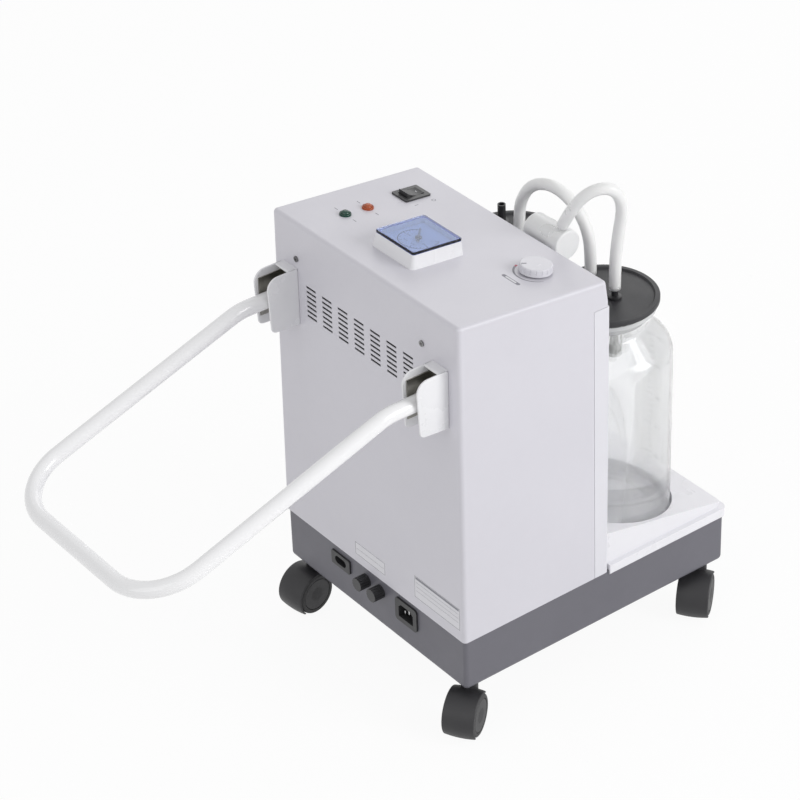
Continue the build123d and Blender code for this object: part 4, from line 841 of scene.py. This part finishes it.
def bracket(side, x):
    """Moulded hinge hood: two rounded cheeks, a back plate and a short roof, open outwards and below."""
    low, high, reach, roof_reach, skin, half = 310.0, 376.0, 39.0, 12.5, 2.2, 12.6
    lean_low, lean_high = [(COVER_BACK_TOP - height) * tan(BACK_LEAN) + 0.1 for height in (low, high)]
    cheek = softened(
        [(lean_low, low), (reach - 3.0, low + 3.0), (reach, high), (lean_high, high)], [1.5, 6.0, 13.0, 3.0]
    )
    parts = []
    for way in (-1, 1):
        inner, outer = sorted((way * (half - skin), way * half))
        parts.append(slab(cheek, inner, outer, 0.7))
    top = high - 1.0
    back_plate = [(lean_low, low), (lean_low + skin, low), (lean_high + skin, top), (lean_high, top)]
    roof = softened(
        [(lean_high, high - skin), (roof_reach - 1.0, high - skin), (roof_reach, high), (lean_high, high)],
        [0, 0.8, 1.5, 0],
    )
    parts += [slab(outline, 1.0 - half, half - 1.0) for outline in (back_plate, roof)]
    hood = joined(*parts)
    stand = Matrix(((0, 0, 1), (1, 0, 0), (0, 1, 0))).to_4x4()
    set_in(hood, Matrix.Translation(place(x, 0, 0)) @ stand)
    replaced = (f"handle_hood_{side}",)
    add_piece(f"hinge_hood_{side}", hood, bracket_white, "machine", replaced)


def hub_discs():
    """Plain covers in the wheel faces of each caster."""
    trail, axle_height, radius, inner_face, face, edge = 14.0, 23.5, 18.3, 14.5, 16.85, 0.7
    turns = {"back_right": 122.0, "back_left": 98.0, "front_right": 128.0, "front_left": 52.0}
    sides = {"right": -134.5, "left": 134.5}
    depths = {"back": 16.0, "front": 330.5}
    for corner, degrees in turns.items():
        row, side = corner.split("_")
        stem = Vector((sides[side], BACK_Y - depths[row], axle_height)) * MM
        swivel = Matrix.Translation(stem) @ Matrix.Rotation(radians(degrees), 4, "Z")
        discs = []
        for way in (-1, 1):
            rim = [(radius, inner_face), (radius, face - edge), (radius - edge, face)]
            disc = turned([(0, inner_face), *rim, (0, face)])
            lay = Matrix.Rotation(-way * pi / 2, 4, "X")
            discs.append(set_in(disc, swivel @ Matrix.Translation((trail * MM, 0, 0)) @ lay))
        add_piece(f"hub_discs_{corner}", joined(*discs), caster_black, f"roll_{corner}")


bracket("right", -122.0)
bracket("left", 122.0)
hub_discs()
gauge_gasket()
gauge_scale()
gauge_hand()
regulator_marks()
switch_prints()
lamp_dashes()
rocker_marks()
lamp_collars()
vent_shade_pad()
screw_recess_shade()
rating_plate("small", 3.0, 76.8, 52.0, 16.5)
rating_plate("large", -109.5, 85.4, 75.0, 28.0, header=True)
inlet_blades()
for side, jar_x in (("right", -JAR_X), ("left", JAR_X)):
    jar(side, jar_x)
    volume_marks(side, jar_x)
    ground_lip(side, jar_x)


# Materials of the CAD nodes
dress(cover_white, "main_cover")
dress(panel_white, "front_panel")
dress(tray_white_painted_light, "bottle_tray")
dress(base_grey, "base_tub")
dress(bracket_white, "handle_hood_left", "handle_hood_right", "gauge_case")
dress(handle_white, "handle_tube")
dress(nylon, "handle_bushes")
dress(knob_white_painted_shade, "regulator_knob")
dress(switch_black, "switch_rocker", "switch_bezel")
dress(socket_black, "mains_inlet", "pedal_socket", "fuse_holders", "fuse_caps")
dress(zinc_steel, "hinge_liner_left", "hinge_liner_right", "chassis_plate")
dress(drawn_steel, "hinge_pins", "caster_stems", "rotor_shaft")
dress(screw_steel, "cover_screws")
dress(cast_alloy, "pump_crankcases", "pump_cylinders", "cylinder_heads")
dress(motor_paint, "motor_housing")
dress(fan_plastic, "cooling_fans", "exhaust_muffler")
dress(foot_rubber, "pump_feet")
dress(brass, "gauge_capsule", "regulator_valve")
dress(dial_card, "gauge_dial")
dress(needle_black, "gauge_needle")
dress(window_blue, "gauge_window")
dress(lamp_green, "lamp_green")
dress(lamp_amber, "lamp_amber")
dress(float_grey, "float_cage", "float_ball")
dress(filter_paper, "filter_element")
dress(filter_shell, "filter_bowl", "filter_cap")
dress(spigot_black, "suction_elbow", "patient_port", "lid_spigots")
dress(lid_rubber, "lid_left", "lid_right")
dress(jar_glass, "jar_left", "jar_right")
dress(fuse_glass, "fuses")
for corner in ("back_right", "back_left", "front_right", "front_left"):
    dress(caster_black, f"caster_cowl_{corner}")
    dress(tread_black, f"caster_wheels_{corner}")


# Floor, lights and world
def light_panel(name, spot, target, size, power):
    """A square softbox at spot that faces target."""
    data = bpy.data.lights.new(name, "AREA")
    data.size = size
    data.energy = power
    lamp = bpy.data.objects.new(name, data)
    bpy.context.scene.collection.objects.link(lamp)
    lamp.location = spot
    lamp.rotation_euler = (Vector(target) - Vector(spot)).to_track_quat("-Z", "Y").to_euler()


def seen_directly(tree):
    """1 for a ray from the camera, through glass or off a gloss, and 0 for one that only lights."""
    rays = tree.nodes.new("ShaderNodeLightPath")
    seen = math_node(tree, "MAXIMUM", rays.outputs["Is Camera Ray"], rays.outputs["Is Transmission Ray"])
    return math_node(tree, "MAXIMUM", seen, rays.outputs["Is Glossy Ray"])


def mix_shaders(tree, share, first, second, output):
    """Send a mix of two shaders to the tree's output."""
    mix = tree.nodes.new("ShaderNodeMixShader")
    tree.links.new(share, mix.inputs[0])
    tree.links.new(first.outputs[0], mix.inputs[1])
    tree.links.new(second.outputs[0], mix.inputs[2])
    tree.links.new(mix.outputs[0], tree.nodes[output].inputs["Surface"])


def white_studio(light_level):
    """A world that lights evenly at light_level and is plain white where it is seen."""
    world = bpy.data.worlds.new("studio")
    bpy.context.scene.world = world
    world.use_nodes = True
    tree = world.node_tree
    lighting = tree.nodes["Background"]
    backdrop = tree.nodes.new("ShaderNodeBackground")
    for node, strength in ((lighting, light_level), (backdrop, 1.0)):
        node.inputs["Color"].default_value = (1, 1, 1, 1)
        node.inputs["Strength"].default_value = strength
    mix_shaders(tree, seen_directly(tree), lighting, backdrop, "World Output")


def white_floor(glow_share, size):
    """A matt floor that keeps the shadows and glows by glow_share where it is seen."""
    material = bpy.data.materials.new("floor_paper")
    material.use_nodes = True
    tree = material.node_tree
    shader = tree.nodes["Principled BSDF"]
    shader.inputs["Base Color"].default_value = (0.86, 0.86, 0.86, 1)
    shader.inputs["Roughness"].default_value = 0.9
    glow = tree.nodes.new("ShaderNodeEmission")
    glow.inputs["Strength"].default_value = 1.0
    share = math_node(tree, "MULTIPLY", seen_directly(tree), glow_share)
    mix_shaders(tree, share, shader, glow, "Material Output")
    bm = bmesh.new()
    bmesh.ops.create_grid(bm, x_segments=1, y_segments=1, size=size)
    mesh = bpy.data.meshes.new("studio_floor")
    bm.to_mesh(mesh)
    bm.free()
    mesh.materials.append(material)
    obj = bpy.data.objects.new("studio_floor", mesh)
    bpy.context.scene.collection.objects.link(obj)


MIDDLE = (0, 0, 0.25)
light_panel("key_softbox", (-2.5, -1.5, 1.7), MIDDLE, 1.6, 48.0)
light_panel("fill_softbox", (-0.6, 2.8, 1.6), MIDDLE, 2.2, 15.0)
light_panel("front_softbox", (1.6, -2.4, 1.9), MIDDLE, 2.0, 10.0)
white_studio(0.62)
white_floor(0.93, 12.0)

bpy.context.scene.view_settings.view_transform = "Standard"
